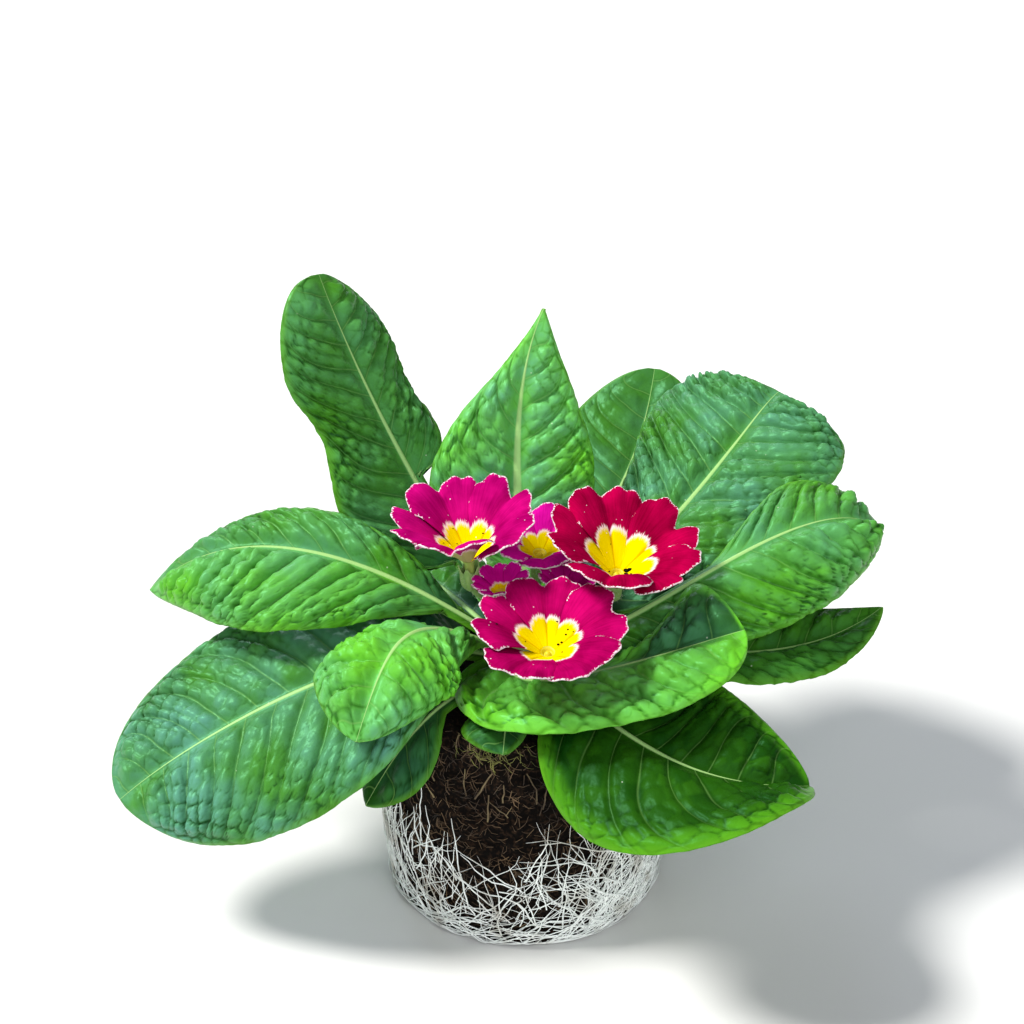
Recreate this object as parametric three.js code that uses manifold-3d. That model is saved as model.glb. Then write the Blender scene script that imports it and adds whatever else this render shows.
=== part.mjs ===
// A garden primrose, grown in a round pot and knocked out of it: the pot-shaped root ball stands on
// its flat base, white roots wrap its lower part, and a rosette of broad puckered leaves and a posy
// of five-petalled flowers grow out of one short crown. Millimetres and degrees, +Z up; the origin
// is the centre of the flat base.
import * as THREE from "three";
import { mergeVertices } from "three/addons/utils/BufferGeometryUtils.js";
import Module from "manifold-3d";

const wasm = await Module();
wasm.setup();

// ---------------------------------------------------------------- driving dimensions
const GAP = 0.3; // clearance between two pieces that touch

const BALL = { height: 84, topRadius: 48, waistRadius: 49.6, baseRadius: 47.4, roundTop: 5, roundBase: 3 };
const CROWN = { radius: 13, topRadius: 7, rise: 22, sink: 8 }; // rise above the soil, sink below it
const NET = { strands: 38, halfWidth: 0.8, depth: 1.2, steps: 5, top: 62, bottom: 3.4, seed: 11 };

const LEAF = {
  rows: 10, // two rows for each pair of side veins
  petioleHalfWidth: 3.6,
  end: 0.997, // where the blade stops, just short of a point
  blade: 0.8, // thickness
  ribHalfWidth: 1.7,
  ribDepth: [3.0, 0.7], // at the crown, at the tip
  veinSlant: 0.1, // how far a side vein runs on towards the tip, as a share of the length left
  pucker: 1.1, // rise of the blade between two side veins
  crenation: 0.025, // depth of the notches in the margin, as a share of the half width
};

const BLOOM = {
  throatRadius: 2.2,
  tubeRadius: 1.7,
  tubeLength: 6,
  petal: 0.7, // thickness
  petalHalfAngle: 43,
  notch: 0.16, // depth of the notch in a petal, as a share of its length
  layer: 1.1, // lift of each petal's leading edge over its neighbour
  calyxLength: 10,
  calyxRadius: 3.4,
  stalkRadius: 1.3,
};

const COLOURS = {
  soil: 0x35251b,
  roots: 0xd9dcd2,
  crown: 0x8fa05a,
  leaf: 0x3f8a2e,
  crimson: 0xb8003f,
  purple: 0xa60a80,
  stalk: 0x9bb06a,
};

// ---------------------------------------------------------------- leaves
// Left and right are those of someone who looks out along the leaf, and a pair is [left, right].
//   midrib    four points that it passes at equal steps: [azimuth, reach from the axis, rise above soil]
//   halfWidth widest reach of the blade on each side; widest: where along the leaf that is
//   blunt     low for a full, round blade and high for a pointed one; like widest, it is a pair
//             where the two sides differ
//   bladeFrom where along the leaf the blade begins on each side; before it there is only the stalk
//   waist     how much the blade draws in past its middle, as a share of its width
//   roll      turn of the blade about its midrib at the crown and at the tip, left side up
//   fold      slope of each half up from the midrib, and foldTip the same towards the tip
//   curl      how far each margin bends down, and curlTip the same towards the tip
const LEAVES = [
  {
    name: "leaf_west_low",
    midrib: [[200, 8, 3.5], [195, 50, 9.5], [192.5, 100, -9], [193, 141, -34]],
    halfWidth: [46.5, 44.5], widest: 0.46, blunt: 0.47, bladeFrom: [0.2, 0.08],
    roll: [0, -30], fold: [0, 4], curl: [22, 16], curlTip: [34, 16],
  },
  {
    name: "leaf_west_high",
    midrib: [[168, 8, 9], [166, 48, 28], [166, 94, 34], [167, 137, 12]],
    halfWidth: [36, 19.4], widest: 0.54, blunt: 0.72, bladeFrom: [0.18, 0.14],
    roll: [0, -14], fold: [0, 36], foldTip: [0, 6], curl: [38, 24],
  },
  {
    name: "leaf_front_left",
    midrib: [[206, 8, 9], [205, 35, 23.5], [216, 55, 23.5], [226, 78, 6]],
    halfWidth: [27, 27], widest: 0.58, blunt: 0.6, bladeFrom: [0.07, 0.33],
    roll: [10, -10], fold: [0, -34], foldTip: [0, 10], curl: [56, 34],
  },
  {
    name: "leaf_front_left_low",
    midrib: [[226, 8, 1], [227, 34, 3.6], [226, 54, -3], [223, 72, -24]],
    halfWidth: [16, 18], widest: 0.62, blunt: 0.7, bladeFrom: [0.46, 0.46],
    roll: [0, 0], fold: [0, 0], curl: [20, 20],
  },
  {
    name: "leaf_front_low",
    midrib: [[258, 8, 1.5], [260, 28, 2.8], [261, 41, 2.8], [262, 53, -1]],
    halfWidth: [9, 16], widest: 0.62, blunt: 0.6, bladeFrom: [0.2, 0.3],
    roll: [0, 0], fold: [0, 0], curl: [12, 12],
  },
  {
    name: "leaf_front_right",
    midrib: [[250, 8, 8], [281, 30, 12.5], [320, 48.5, 21], [341, 76, 29]],
    halfWidth: [27, 31], widest: [0.88, 0.5], blunt: [0.8, 0.47], bladeFrom: [0.12, 0],
    roll: [0, 22], fold: [-9, -8], foldTip: [40, -6], curl: [20, 14], curlTip: [20, 32],
  },
  {
    name: "leaf_front_right_low",
    midrib: [[304, 8, 1.5], [301, 50, 6.5], [311, 79, -1], [328, 108, -10]],
    halfWidth: [40, 39], widest: 0.5, blunt: 0.5, bladeFrom: [0.16, 0.2],
    roll: [0, 0], fold: [0, -12], foldTip: [24, 44], curl: [10, 40], curlTip: [10, 10],
  },
  {
    name: "leaf_east_high",
    midrib: [[344, 8, 9], [352.6, 44.3, 28.4], [7.1, 87.3, 45.3], [14.8, 129.5, 35.8]],
    halfWidth: [24.5, 31], widest: [0.68, 0.62], blunt: 0.6, bladeFrom: [0.48, 0.06],
    roll: [0, 26], fold: [12, -38], foldTip: [12, 6], curl: [6, 36], curlTip: [8, 64],
  },
  {
    name: "leaf_east_low",
    midrib: [[352, 8, 3.5], [352, 46, 9], [358, 86, 8], [6, 125, 16]],
    halfWidth: [24, 20], widest: 0.55, blunt: 0.85, bladeFrom: [0.14, 0.14],
    roll: [0, 10], fold: [14, 14], curl: [20, 14], curlTip: [20, 34],
  },
  {
    name: "leaf_north_east",
    midrib: [[32, 8, 11], [37.5, 60.6, 32.2], [41.5, 103.1, 52.8], [42.9, 128.4, 63.9]],
    halfWidth: [44, 41], widest: [0.74, 0.62], blunt: [0.36, 0.3], bladeFrom: [0.12, 0.1],
    roll: [0, 3], fold: [12, 2], foldTip: [12, -3], curl: [14, 26], curlTip: [30, 26],
  },
  {
    name: "leaf_north_behind",
    midrib: [[62, 8, 7], [63.9, 51.6, 21.1], [65.6, 95.6, 32.8], [67.4, 131.3, 58.8]],
    halfWidth: [33, 30], widest: 0.62, blunt: 0.5, bladeFrom: [0.12, 0.12],
    roll: [0, 8], fold: [6, 6], curl: [10, 16],
  },
  {
    name: "leaf_north",
    midrib: [[92, 8, 10], [93, 38, 31], [92, 58, 67], [84.5, 73, 103]],
    halfWidth: [32, 29], widest: [0.36, 0.42], blunt: [2.2, 0.92], bladeFrom: [0.2, 0.12],
    roll: [0, 0], fold: [8, 8], curl: [18, 22],
  },
  {
    name: "leaf_north_west",
    midrib: [[140, 7, 13], [127, 55, 38], [134, 80, 79], [136, 100, 117]],
    halfWidth: [34, 27], widest: 0.46, blunt: 0.42, bladeFrom: [0.2, 0.42], waist: 0.3,
    roll: [-28, 4], fold: [4, -10], curl: [10, 24],
  },
  {
    name: "leaf_back_right_low",
    midrib: [[28, 8, 2], [28, 46, 6], [30, 84, 2], [32, 118, -20]],
    halfWidth: [32, 32], widest: 0.6, blunt: 0.65, bladeFrom: [0.14, 0.14],
    roll: [0, 0], fold: [4, 4], curl: [26, 26],
  },
  {
    name: "leaf_back_low",
    midrib: [[76, 8, 2], [78, 44, 7], [79, 84, 3], [80, 120, -22]],
    halfWidth: [32, 32], widest: 0.6, blunt: 0.65, bladeFrom: [0.14, 0.14],
    roll: [0, 0], fold: [4, 4], curl: [26, 26],
  },
  {
    name: "leaf_back_left_low",
    midrib: [[126, 8, 2], [125, 44, 6], [124, 82, 0], [123, 116, -26]],
    halfWidth: [32, 32], widest: 0.6, blunt: 0.65, bladeFrom: [0.14, 0.14],
    roll: [0, 0], fold: [4, 4], curl: [26, 26],
  },
];

// ---------------------------------------------------------------- flowers
//   centre  [x, y, rise above the soil] of the throat
//   facing  [azimuth, tilt from straight up]; spin: turn about that axis; cup: slope of the petals
//   root    azimuth at which the stalk leaves the crown
//   young   a flower still opening, purple and with narrower petals
const BLOOMS = [
  {
    name: "west",
    centre: [-19, -2, 43], facing: [210, 6], radius: 25, spin: 41, cup: 41, root: 168, young: false,
  },
  {
    name: "east",
    centre: [30.5, -5, 39], facing: [300, 15], radius: 26.5, spin: 34, cup: 38, root: 340, young: false,
  },
  {
    name: "front",
    centre: [7, -37, 27.8], facing: [275, 12], radius: 25, spin: 22, cup: 30, root: 280, young: false,
  },
  {
    name: "middle",
    centre: [5, 16, 35], facing: [275, 12], radius: 17, spin: 60, cup: 32, root: 85, young: true,
  },
  {
    name: "inner_west",
    centre: [-8, -9, 34], facing: [200, 4], radius: 10.2, spin: 36, cup: 38, root: 236, young: true,
  },
  {
    name: "inner_east",
    centre: [13.2, 1.6, 29], facing: [330, 14], radius: 10.2, spin: 30, cup: 32, root: 20, young: true,
  },
];

// ---------------------------------------------------------------- small tools
const radians = THREE.MathUtils.degToRad;
const lerp = THREE.MathUtils.lerp;
const clamp = THREE.MathUtils.clamp;
const smooth = THREE.MathUtils.smoothstep; // (x, from, to)
const UP = new THREE.Vector3(0, 0, 1);
const sideOf = (value, side) => (Array.isArray(value) ? value[side] : value); // 0 is left, 1 is right

// A repeatable stream of numbers from 0 to 1.
function randomStream(seed) {
  let state = seed;
  return () => {
    state = (state * 1664525 + 1013904223) % 4294967296;
    return state / 4294967296;
  };
}

// The point at an azimuth, a reach from the axis and a rise above the soil.
function aroundCrown([azimuth, reach, rise]) {
  const a = radians(azimuth);
  return new THREE.Vector3(reach * Math.cos(a), reach * Math.sin(a), BALL.height + rise);
}

// The cubic curve that passes four points at equal steps of its parameter.
function curveThrough([a, b, c, d]) {
  const handle = (near, next, beyond, far) =>
    near
      .clone()
      .multiplyScalar(-5)
      .addScaledVector(next, 18)
      .addScaledVector(beyond, -9)
      .addScaledVector(far, 2)
      .divideScalar(6);
  return new THREE.CubicBezierCurve3(a, handle(a, b, c, d), handle(d, c, b, a), d);
}

// A manifold-3d solid from a closed geometry, and back.
function toSolid(geometry) {
  const bare = geometry.clone();
  bare.deleteAttribute("normal");
  bare.deleteAttribute("uv");
  const merged = mergeVertices(bare, 1e-4);
  return new wasm.Manifold(
    new wasm.Mesh({
      numProp: 3,
      vertProperties: merged.attributes.position.array,
      triVerts: new Uint32Array(merged.index.array),
    }),
  );
}

function toGeometry(solid) {
  const { vertProperties, triVerts, numProp } = solid.getMesh();
  const positions = new Float32Array((vertProperties.length / numProp) * 3);
  for (let i = 0; i < positions.length / 3; i++)
    positions.set(vertProperties.subarray(i * numProp, i * numProp + 3), i * 3);
  const geometry = new THREE.BufferGeometry();
  geometry.setAttribute("position", new THREE.BufferAttribute(positions, 3));
  geometry.setIndex(new THREE.BufferAttribute(new Uint32Array(triVerts), 1));
  geometry.computeVertexNormals();
  return geometry;
}

// The largest body of a solid, without loose scraps.
function largestBody(solid) {
  return solid.decompose().sort((a, b) => b.volume() - a.volume())[0];
}

// A closed geometry through rings of points, capped at both ends. Each ring has as many points and
// runs right-handed about the way from the first ring to the last.
function loft(rings) {
  const size = rings[0].length;
  const positions = rings.flat().flatMap((p) => [p.x, p.y, p.z]);
  const index = [];
  for (let r = 0; r < rings.length - 1; r++)
    for (let c = 0; c < size; c++) {
      const a = r * size + c;
      const b = r * size + ((c + 1) % size);
      index.push(a, b, a + size, b, b + size, a + size);
    }
  const last = (rings.length - 1) * size;
  for (let c = 1; c < size - 1; c++) index.push(0, c + 1, c, last, last + c, last + c + 1);
  const geometry = new THREE.BufferGeometry();
  geometry.setAttribute("position", new THREE.Float32BufferAttribute(positions, 3));
  geometry.setIndex(index);
  return geometry;
}

// A closed sheet: middle[row][column] is its middle surface, and above and below are the
// thicknesses on its two faces at a row and column. Both faces are split into triangles alike.
function sheet(middle, above, below) {
  const rows = middle.length;
  const columns = middle[0].length;
  const at = (r, c) => middle[clamp(r, 0, rows - 1)][clamp(c, 0, columns - 1)];
  const upper = [];
  const lower = [];
  for (let r = 0; r < rows; r++)
    for (let c = 0; c < columns; c++) {
      const along = at(r + 1, c).clone().sub(at(r - 1, c));
      const across = at(r, c + 1).clone().sub(at(r, c - 1));
      const normal = along.cross(across).normalize();
      upper.push(at(r, c).clone().addScaledVector(normal, above(r, c)));
      lower.push(at(r, c).clone().addScaledVector(normal, -below(r, c)));
    }
  const index = [];
  const under = rows * columns;
  for (let r = 0; r < rows - 1; r++)
    for (let c = 0; c < columns - 1; c++) {
      const a = r * columns + c;
      const b = a + 1;
      const d = a + columns;
      const e = d + 1;
      index.push(a, d, b, b, d, e);
      index.push(under + a, under + b, under + d, under + b, under + e, under + d);
    }
  const rim = (a, b) => index.push(a, b, under + a, b, under + b, under + a);
  for (let r = 0; r < rows - 1; r++) {
    rim((r + 1) * columns, r * columns);
    rim(r * columns + columns - 1, (r + 1) * columns + columns - 1);
  }
  for (let c = 0; c < columns - 1; c++) {
    rim(c, c + 1);
    rim((rows - 1) * columns + c + 1, (rows - 1) * columns + c);
  }
  const geometry = new THREE.BufferGeometry();
  const positions = [...upper, ...lower].flatMap((p) => [p.x, p.y, p.z]);
  geometry.setAttribute("position", new THREE.Float32BufferAttribute(positions, 3));
  geometry.setIndex(index);
  return geometry;
}

// ---------------------------------------------------------------- root ball and crown
// Radius of the root ball at a height: the inside of the pot it grew in, a little swollen.
function ballRadius(z) {
  const { height, topRadius, waistRadius, baseRadius, roundTop, roundBase } = BALL;
  const share = z / height;
  const straight = lerp(baseRadius, topRadius, share);
  const swell = (waistRadius - (baseRadius + topRadius) / 2) * Math.sin(Math.PI * share);
  const nearBase = Math.max(0, roundBase - z);
  const nearTop = Math.max(0, roundTop - (height - z));
  const cutBase = roundBase - Math.sqrt(roundBase ** 2 - nearBase ** 2);
  const cutTop = roundTop - Math.sqrt(roundTop ** 2 - nearTop ** 2);
  return straight + swell - cutBase - cutTop;
}

function ballProfile() {
  const heights = [0, 1, 3, 12, 25, 40, 55, 68, 79, 82.5, BALL.height]; // closer at the round edges
  const outer = heights.map((z) => new THREE.Vector2(ballRadius(z), z));
  return [new THREE.Vector2(0, 0), ...outer, new THREE.Vector2(0, BALL.height)];
}

function rootBall() {
  const geometry = new THREE.LatheGeometry(ballProfile(), 36);
  geometry.rotateX(Math.PI / 2); // the lathe turns about Y
  const socket = toSolid(crownGeometry(GAP));
  return toSolid(geometry).subtract(socket);
}

function crownGeometry(offset) {
  const { radius, topRadius, rise, sink } = CROWN;
  const profile = [
    new THREE.Vector2(0, -sink - offset),
    new THREE.Vector2(radius - 4 + offset, -sink - offset),
    new THREE.Vector2(radius + offset, -sink / 3),
    new THREE.Vector2(radius + offset, rise * 0.2),
    new THREE.Vector2(radius - 2 + offset, rise * 0.5),
    new THREE.Vector2(topRadius + offset, rise * 0.9),
    new THREE.Vector2(topRadius - 3 + offset, rise + offset),
    new THREE.Vector2(0, rise + offset),
  ];
  const geometry = new THREE.LatheGeometry(profile, 16);
  geometry.rotateX(Math.PI / 2);
  geometry.translate(0, 0, BALL.height);
  return geometry;
}

// A root is a low three-sided ridge that lies on the ball along a line from [azimuth, height] to
// [azimuth, height], with a slow wriggle.
function rootStrand(from, to, wriggle, phase, lift) {
  const rings = [];
  const place = (s, out) => {
    const a = radians(lerp(from[0], to[0], s) + wriggle * Math.sin(s * 7 + phase));
    const z = Math.max(NET.bottom, lerp(from[1], to[1], s) + wriggle * 0.5 * Math.cos(s * 9 + phase));
    const r = ballRadius(z) + out;
    return new THREE.Vector3(r * Math.cos(a), r * Math.sin(a), z);
  };
  for (let i = 0; i <= NET.steps; i++) {
    const s = i / NET.steps;
    const base = place(s, GAP + lift);
    const outward = place(s, 10).sub(place(s, 0)).normalize();
    const along = place(Math.min(1, s + 0.02), 0).sub(place(Math.max(0, s - 0.02), 0)).normalize();
    const side = along.clone().cross(outward).normalize();
    const thin = i === 0 || i === NET.steps ? 0.5 : 1;
    rings.push([
      base.clone().addScaledVector(side, -NET.halfWidth * thin),
      base.clone().addScaledVector(outward, NET.depth * thin),
      base.clone().addScaledVector(side, NET.halfWidth * thin),
    ]);
  }
  return toSolid(loft(rings));
}

function rootNet() {
  const random = randomStream(NET.seed);
  const strands = [];
  for (let i = 0; i < NET.strands; i++) {
    const azimuth = (i / NET.strands) * 360 + random() * 8;
    const low = NET.bottom + 2 + random() * 14;
    const lean = (i % 2 ? 1 : -1) * (18 + random() * 30);
    const high = low + 12 + random() * (NET.top - low - 20);
    const wriggle = 2 + random() * 3;
    const phase = random() * 6;
    const lift = random() * 0.3;
    strands.push(rootStrand([azimuth, low], [azimuth + lean, high], wriggle, phase, lift));
  }
  return largestBody(wasm.Manifold.union(strands));
}

// ---------------------------------------------------------------- leaf
// The moving frame of a leaf: its midrib curve and, at each station, the direction to its left.
function leafFrame(leaf) {
  const curve = curveThrough(leaf.midrib.map(aroundCrown));
  const heading = radians(leaf.midrib[1][0]);
  let left = new THREE.Vector3(-Math.sin(heading), Math.cos(heading), 0);
  const stations = 24;
  const lefts = [];
  for (let i = 0; i <= stations; i++) {
    const tangent = curve.getTangent(i / stations);
    left = left.clone().addScaledVector(tangent, -left.dot(tangent)).normalize();
    lefts.push(left);
  }
  return (t) => {
    const i = Math.min(stations - 1, Math.floor(t * stations));
    const tangent = curve.getTangent(t);
    const side = lefts[i].clone().lerp(lefts[i + 1], t * stations - i);
    side.applyAxisAngle(tangent, radians(lerp(leaf.roll[0], leaf.roll[1], t)));
    side.addScaledVector(tangent, -side.dot(tangent)).normalize();
    return { point: curve.getPoint(t), side, normal: tangent.clone().cross(side) };
  };
}

// Half width of a leaf at t along its midrib: a winged stalk that opens into a blunt blade.
function leafHalfWidth(leaf, t, side) {
  const { petioleHalfWidth, end } = LEAF;
  const u = clamp((t - leaf.bladeFrom[side]) / (1 - leaf.bladeFrom[side]), 0, end);
  const power = Math.log(0.5) / Math.log(sideOf(leaf.widest, side));
  const blade = Math.sin(Math.PI * u ** power) ** sideOf(leaf.blunt, side);
  const waist = 1 - (leaf.waist ?? 0) * Math.exp(-(((t - 0.6) / 0.13) ** 2));
  return petioleHalfWidth * Math.sqrt(1 - u) + (leaf.halfWidth[side] - petioleHalfWidth) * blade * waist;
}

// The point of a leaf's middle surface at t along it and q across, from -1 at its right margin to 1.
function leafPoint(leaf, frameAt, t, q, crest) {
  const { point, side, normal } = frameAt(t);
  const wing = Math.abs(q);
  const hand = q > 0 ? 0 : 1;
  const open = smooth(t, leaf.bladeFrom[hand], leaf.bladeFrom[hand] + 0.25);
  const late = smooth(t, 0.4, 1);
  const margin = wing > 0.99 ? LEAF.crenation * (crest ? 1 : -1) : 0;
  const width = leafHalfWidth(leaf, t, hand) * (1 + margin);
  const fold = radians(lerp(leaf.fold[hand], (leaf.foldTip ?? leaf.fold)[hand], late)) * open;
  const bend = radians(lerp(leaf.curl[hand], (leaf.curlTip ?? leaf.curl)[hand], late)) * open + 1e-6;
  const across = (width * (Math.sin(fold) - Math.sin(fold - bend * wing))) / bend;
  const rise = (width * (Math.cos(fold - bend * wing) - Math.cos(fold))) / bend;
  const pucker = crest ? LEAF.pucker * open * smooth(wing, 0.05, 0.4) : 0;
  return point
    .clone()
    .addScaledVector(side, Math.sign(q) * across)
    .addScaledVector(normal, rise + pucker);
}

function leafSolid(leaf) {
  const frameAt = leafFrame(leaf);
  const middle = [];
  for (let r = 0; r <= LEAF.rows; r++) {
    const onRib = r / LEAF.rows;
    const row = [];
    for (let c = -4; c <= 4; c++) {
      const rib = Math.min(0.6, LEAF.ribHalfWidth / leafHalfWidth(leaf, onRib, c > 0 ? 0 : 1));
      const wing = [0, rib, lerp(rib, 1, 0.32), lerp(rib, 1, 0.68), 1][Math.abs(c)];
      const slant = LEAF.veinSlant * wing * smooth(onRib, 0, 0.3) * smooth(1 - onRib, 0, 0.3);
      row.push(leafPoint(leaf, frameAt, Math.min(LEAF.end, onRib + slant), Math.sign(c) * wing, r % 2 === 1));
    }
    middle.push(row.reverse()); // from the right margin to the left, so that the sheet faces up
  }
  const below = (r, c) => {
    const depth = lerp(LEAF.ribDepth[0], LEAF.ribDepth[1], r / LEAF.rows);
    return LEAF.blade / 2 + depth * ([1, 0.45][Math.abs(c - 4)] ?? 0);
  };
  return toSolid(sheet(middle, () => LEAF.blade / 2, below));
}

// ---------------------------------------------------------------- flower
// The turn that takes +Z to the way a flower faces, with the spin about it.
function bloomTurn({ facing, spin }) {
  const azimuth = radians(facing[0]);
  const tilt = radians(facing[1]);
  const axis = new THREE.Vector3(
    Math.sin(tilt) * Math.cos(azimuth),
    Math.sin(tilt) * Math.sin(azimuth),
    Math.cos(tilt),
  );
  return new THREE.Quaternion()
    .setFromUnitVectors(UP, axis)
    .multiply(new THREE.Quaternion().setFromAxisAngle(UP, radians(spin)));
}

function bloomPlace(bloom) {
  const [x, y, rise] = bloom.centre;
  return new THREE.Matrix4().compose(
    new THREE.Vector3(x, y, BALL.height + rise),
    bloomTurn(bloom),
    new THREE.Vector3(1, 1, 1),
  );
}

// One heart-shaped petal: u from the throat to the rim, v across it. Its left edge lifts over the
// next petal and its right edge dips under the one before.
function petalPoint(bloom, turn, u, v) {
  const notch = BLOOM.notch * Math.exp(-((v / 0.22) ** 2));
  const corner = 0.2 * Math.abs(v) ** 4;
  const reach = (bloom.radius - BLOOM.throatRadius) * (1 - notch - corner);
  const r = BLOOM.throatRadius + reach * u;
  const angle = turn + radians(BLOOM.petalHalfAngle) * v * (0.72 + 0.28 * Math.sin(Math.PI * u ** 0.8));
  const spread = smooth(u, 0.05, 0.5);
  const crease = -0.7 * Math.exp(-((v / 0.3) ** 2)) * spread;
  const cup = radians(bloom.cup);
  const rise = (r - BLOOM.throatRadius) * Math.tan(cup) * (1.15 - 0.25 * u * u);
  const lift = v * BLOOM.layer * spread + crease;
  return new THREE.Vector3(r * Math.cos(angle), r * Math.sin(angle), rise + lift);
}

function corollaSolid(bloom) {
  const across = bloom.young ? [-1, -0.5, 0, 0.5, 1] : [-1, -0.6, -0.25, 0, 0.25, 0.6, 1];
  const along = [0, 0.45, 1];
  const petals = [0, 1, 2, 3, 4].map((i) => {
    const turn = (i * 2 * Math.PI) / 5;
    const middle = along.map((u) => across.map((v) => petalPoint(bloom, turn, u, v)));
    return toSolid(sheet(middle, () => BLOOM.petal / 2, () => BLOOM.petal / 2));
  });
  const tube = toSolid(tubeGeometry(0));
  return wasm.Manifold.union([tube, ...petals]);
}

// The corolla's tube below the throat.
function tubeGeometry(offset) {
  const { throatRadius, tubeRadius, tubeLength } = BLOOM;
  const profile = [
    new THREE.Vector2(0, -tubeLength - offset),
    new THREE.Vector2(tubeRadius + offset, -tubeLength - offset),
    new THREE.Vector2(tubeRadius + offset, -2),
    new THREE.Vector2(throatRadius + 1 + offset, 0.2),
    new THREE.Vector2(throatRadius + 0.6, 0.7),
    new THREE.Vector2(0, 0.2),
  ];
  return new THREE.LatheGeometry(profile, 10).rotateX(Math.PI / 2);
}

// A ring of points about a centre, right-handed about the way that side and other turn.
function ring(centre, side, other, radii) {
  return radii.map((radius, i) => {
    const a = (i / radii.length) * 2 * Math.PI;
    return centre
      .clone()
      .addScaledVector(side, radius * Math.cos(a))
      .addScaledVector(other, radius * Math.sin(a));
  });
}

// The ribbed calyx in the flower's own frame: ten sides, and every other one rises to a tooth.
function calyxGeometry() {
  const { calyxLength, calyxRadius, stalkRadius } = BLOOM;
  const x = new THREE.Vector3(1, 0, 0);
  const y = new THREE.Vector3(0, 1, 0);
  const sections = [
    [-calyxLength - 2, stalkRadius * 0.9, stalkRadius * 0.9, 0],
    [-calyxLength + 1, calyxRadius * 0.8, calyxRadius * 0.62, 0],
    [-calyxLength * 0.5, calyxRadius, calyxRadius * 0.78, 0],
    [-4.6, calyxRadius * 1.1, calyxRadius * 0.86, 2.6],
  ];
  const rings = sections.map(([z, ridge, furrow, tooth]) => {
    const radii = Array.from({ length: 10 }, (_, i) => (i % 2 ? furrow : ridge));
    const points = ring(new THREE.Vector3(0, 0, z), x, y, radii);
    points.forEach((p, i) => (p.z += i % 2 ? 0 : tooth));
    return points;
  });
  const inner = Array.from({ length: 10 }, () => BLOOM.tubeRadius * 0.8);
  rings.push(ring(new THREE.Vector3(0, 0, -5), x, y, inner));
  return loft(rings);
}

function stalkSolid(bloom) {
  const place = bloomPlace(bloom);
  const facing = UP.clone().applyQuaternion(bloomTurn(bloom));
  const end = new THREE.Vector3(0, 0, -BLOOM.calyxLength - 1).applyMatrix4(place);
  const start = aroundCrown([bloom.root, CROWN.topRadius - 2.8, CROWN.rise - 6]);
  const reach = start.distanceTo(end);
  const curve = new THREE.CubicBezierCurve3(
    start,
    start.clone().addScaledVector(UP, reach * 0.3),
    end.clone().addScaledVector(facing, -4),
    end,
  );
  const steps = 4;
  const rings = [];
  const radii = Array.from({ length: 5 }, () => BLOOM.stalkRadius);
  let side = new THREE.Vector3(1, 0, 0);
  for (let i = 0; i <= steps; i++) {
    const tangent = curve.getTangent(i / steps);
    side = side.clone().addScaledVector(tangent, -side.dot(tangent)).normalize();
    rings.push(ring(curve.getPoint(i / steps), side, tangent.clone().cross(side), radii));
  }
  const calyx = calyxGeometry().applyMatrix4(place);
  const tube = tubeGeometry(GAP).applyMatrix4(place);
  return toSolid(loft(rings)).add(toSolid(calyx)).subtract(toSolid(tube));
}

// ---------------------------------------------------------------- the whole plant
const plant = new THREE.Group();
plant.name = "primrose";

function add(name, solid, colour, roughness) {
  const material = new THREE.MeshStandardMaterial({ color: COLOURS[colour], roughness, metalness: 0 });
  const mesh = new THREE.Mesh(toGeometry(solid), material);
  mesh.name = name;
  plant.add(mesh);
}

const crownClearance = toSolid(crownGeometry(GAP));
add("root_ball", rootBall(), "soil", 1);
add("root_net", rootNet(), "roots", 0.8);
add("crown", toSolid(crownGeometry(0)), "crown", 0.7);
for (const leaf of LEAVES) {
  add(leaf.name, largestBody(leafSolid(leaf).subtract(crownClearance)), "leaf", 0.55);
}
for (const bloom of BLOOMS) {
  const stalk = largestBody(stalkSolid(bloom).subtract(crownClearance));
  add("stalk_" + bloom.name, stalk, "stalk", 0.6);
  const corolla = toSolid(toGeometry(corollaSolid(bloom)).applyMatrix4(bloomPlace(bloom)));
  add("corolla_" + bloom.name, corolla, bloom.young ? "purple" : "crimson", 0.5);
}

export default plant;
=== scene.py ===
"""The looks of a garden primrose on its bare root ball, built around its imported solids.

Everything is in metres in the plant's own frame: +Z up, the origin at the centre of the flat base of
the root ball, and the grower's eye on the -Y side. The sections follow the plant as it grows: the
root ball, its roots, the crown, the leaves, the flower stalks and the flowers.
"""
import math

import bmesh
import bpy
import numpy as np
from mathutils import Matrix, Vector, noise


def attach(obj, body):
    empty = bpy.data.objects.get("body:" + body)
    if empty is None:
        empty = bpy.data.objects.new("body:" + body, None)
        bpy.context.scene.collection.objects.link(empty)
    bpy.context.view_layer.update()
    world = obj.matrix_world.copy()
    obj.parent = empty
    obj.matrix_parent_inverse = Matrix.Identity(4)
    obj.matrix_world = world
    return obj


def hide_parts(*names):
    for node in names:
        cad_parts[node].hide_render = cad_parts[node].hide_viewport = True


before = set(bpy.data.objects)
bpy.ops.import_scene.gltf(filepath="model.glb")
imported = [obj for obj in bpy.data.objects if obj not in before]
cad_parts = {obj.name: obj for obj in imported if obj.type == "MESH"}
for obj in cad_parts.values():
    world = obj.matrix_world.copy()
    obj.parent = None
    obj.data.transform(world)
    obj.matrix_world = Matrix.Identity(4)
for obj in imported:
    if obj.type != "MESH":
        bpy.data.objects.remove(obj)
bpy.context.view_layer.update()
MM = 0.001

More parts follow.
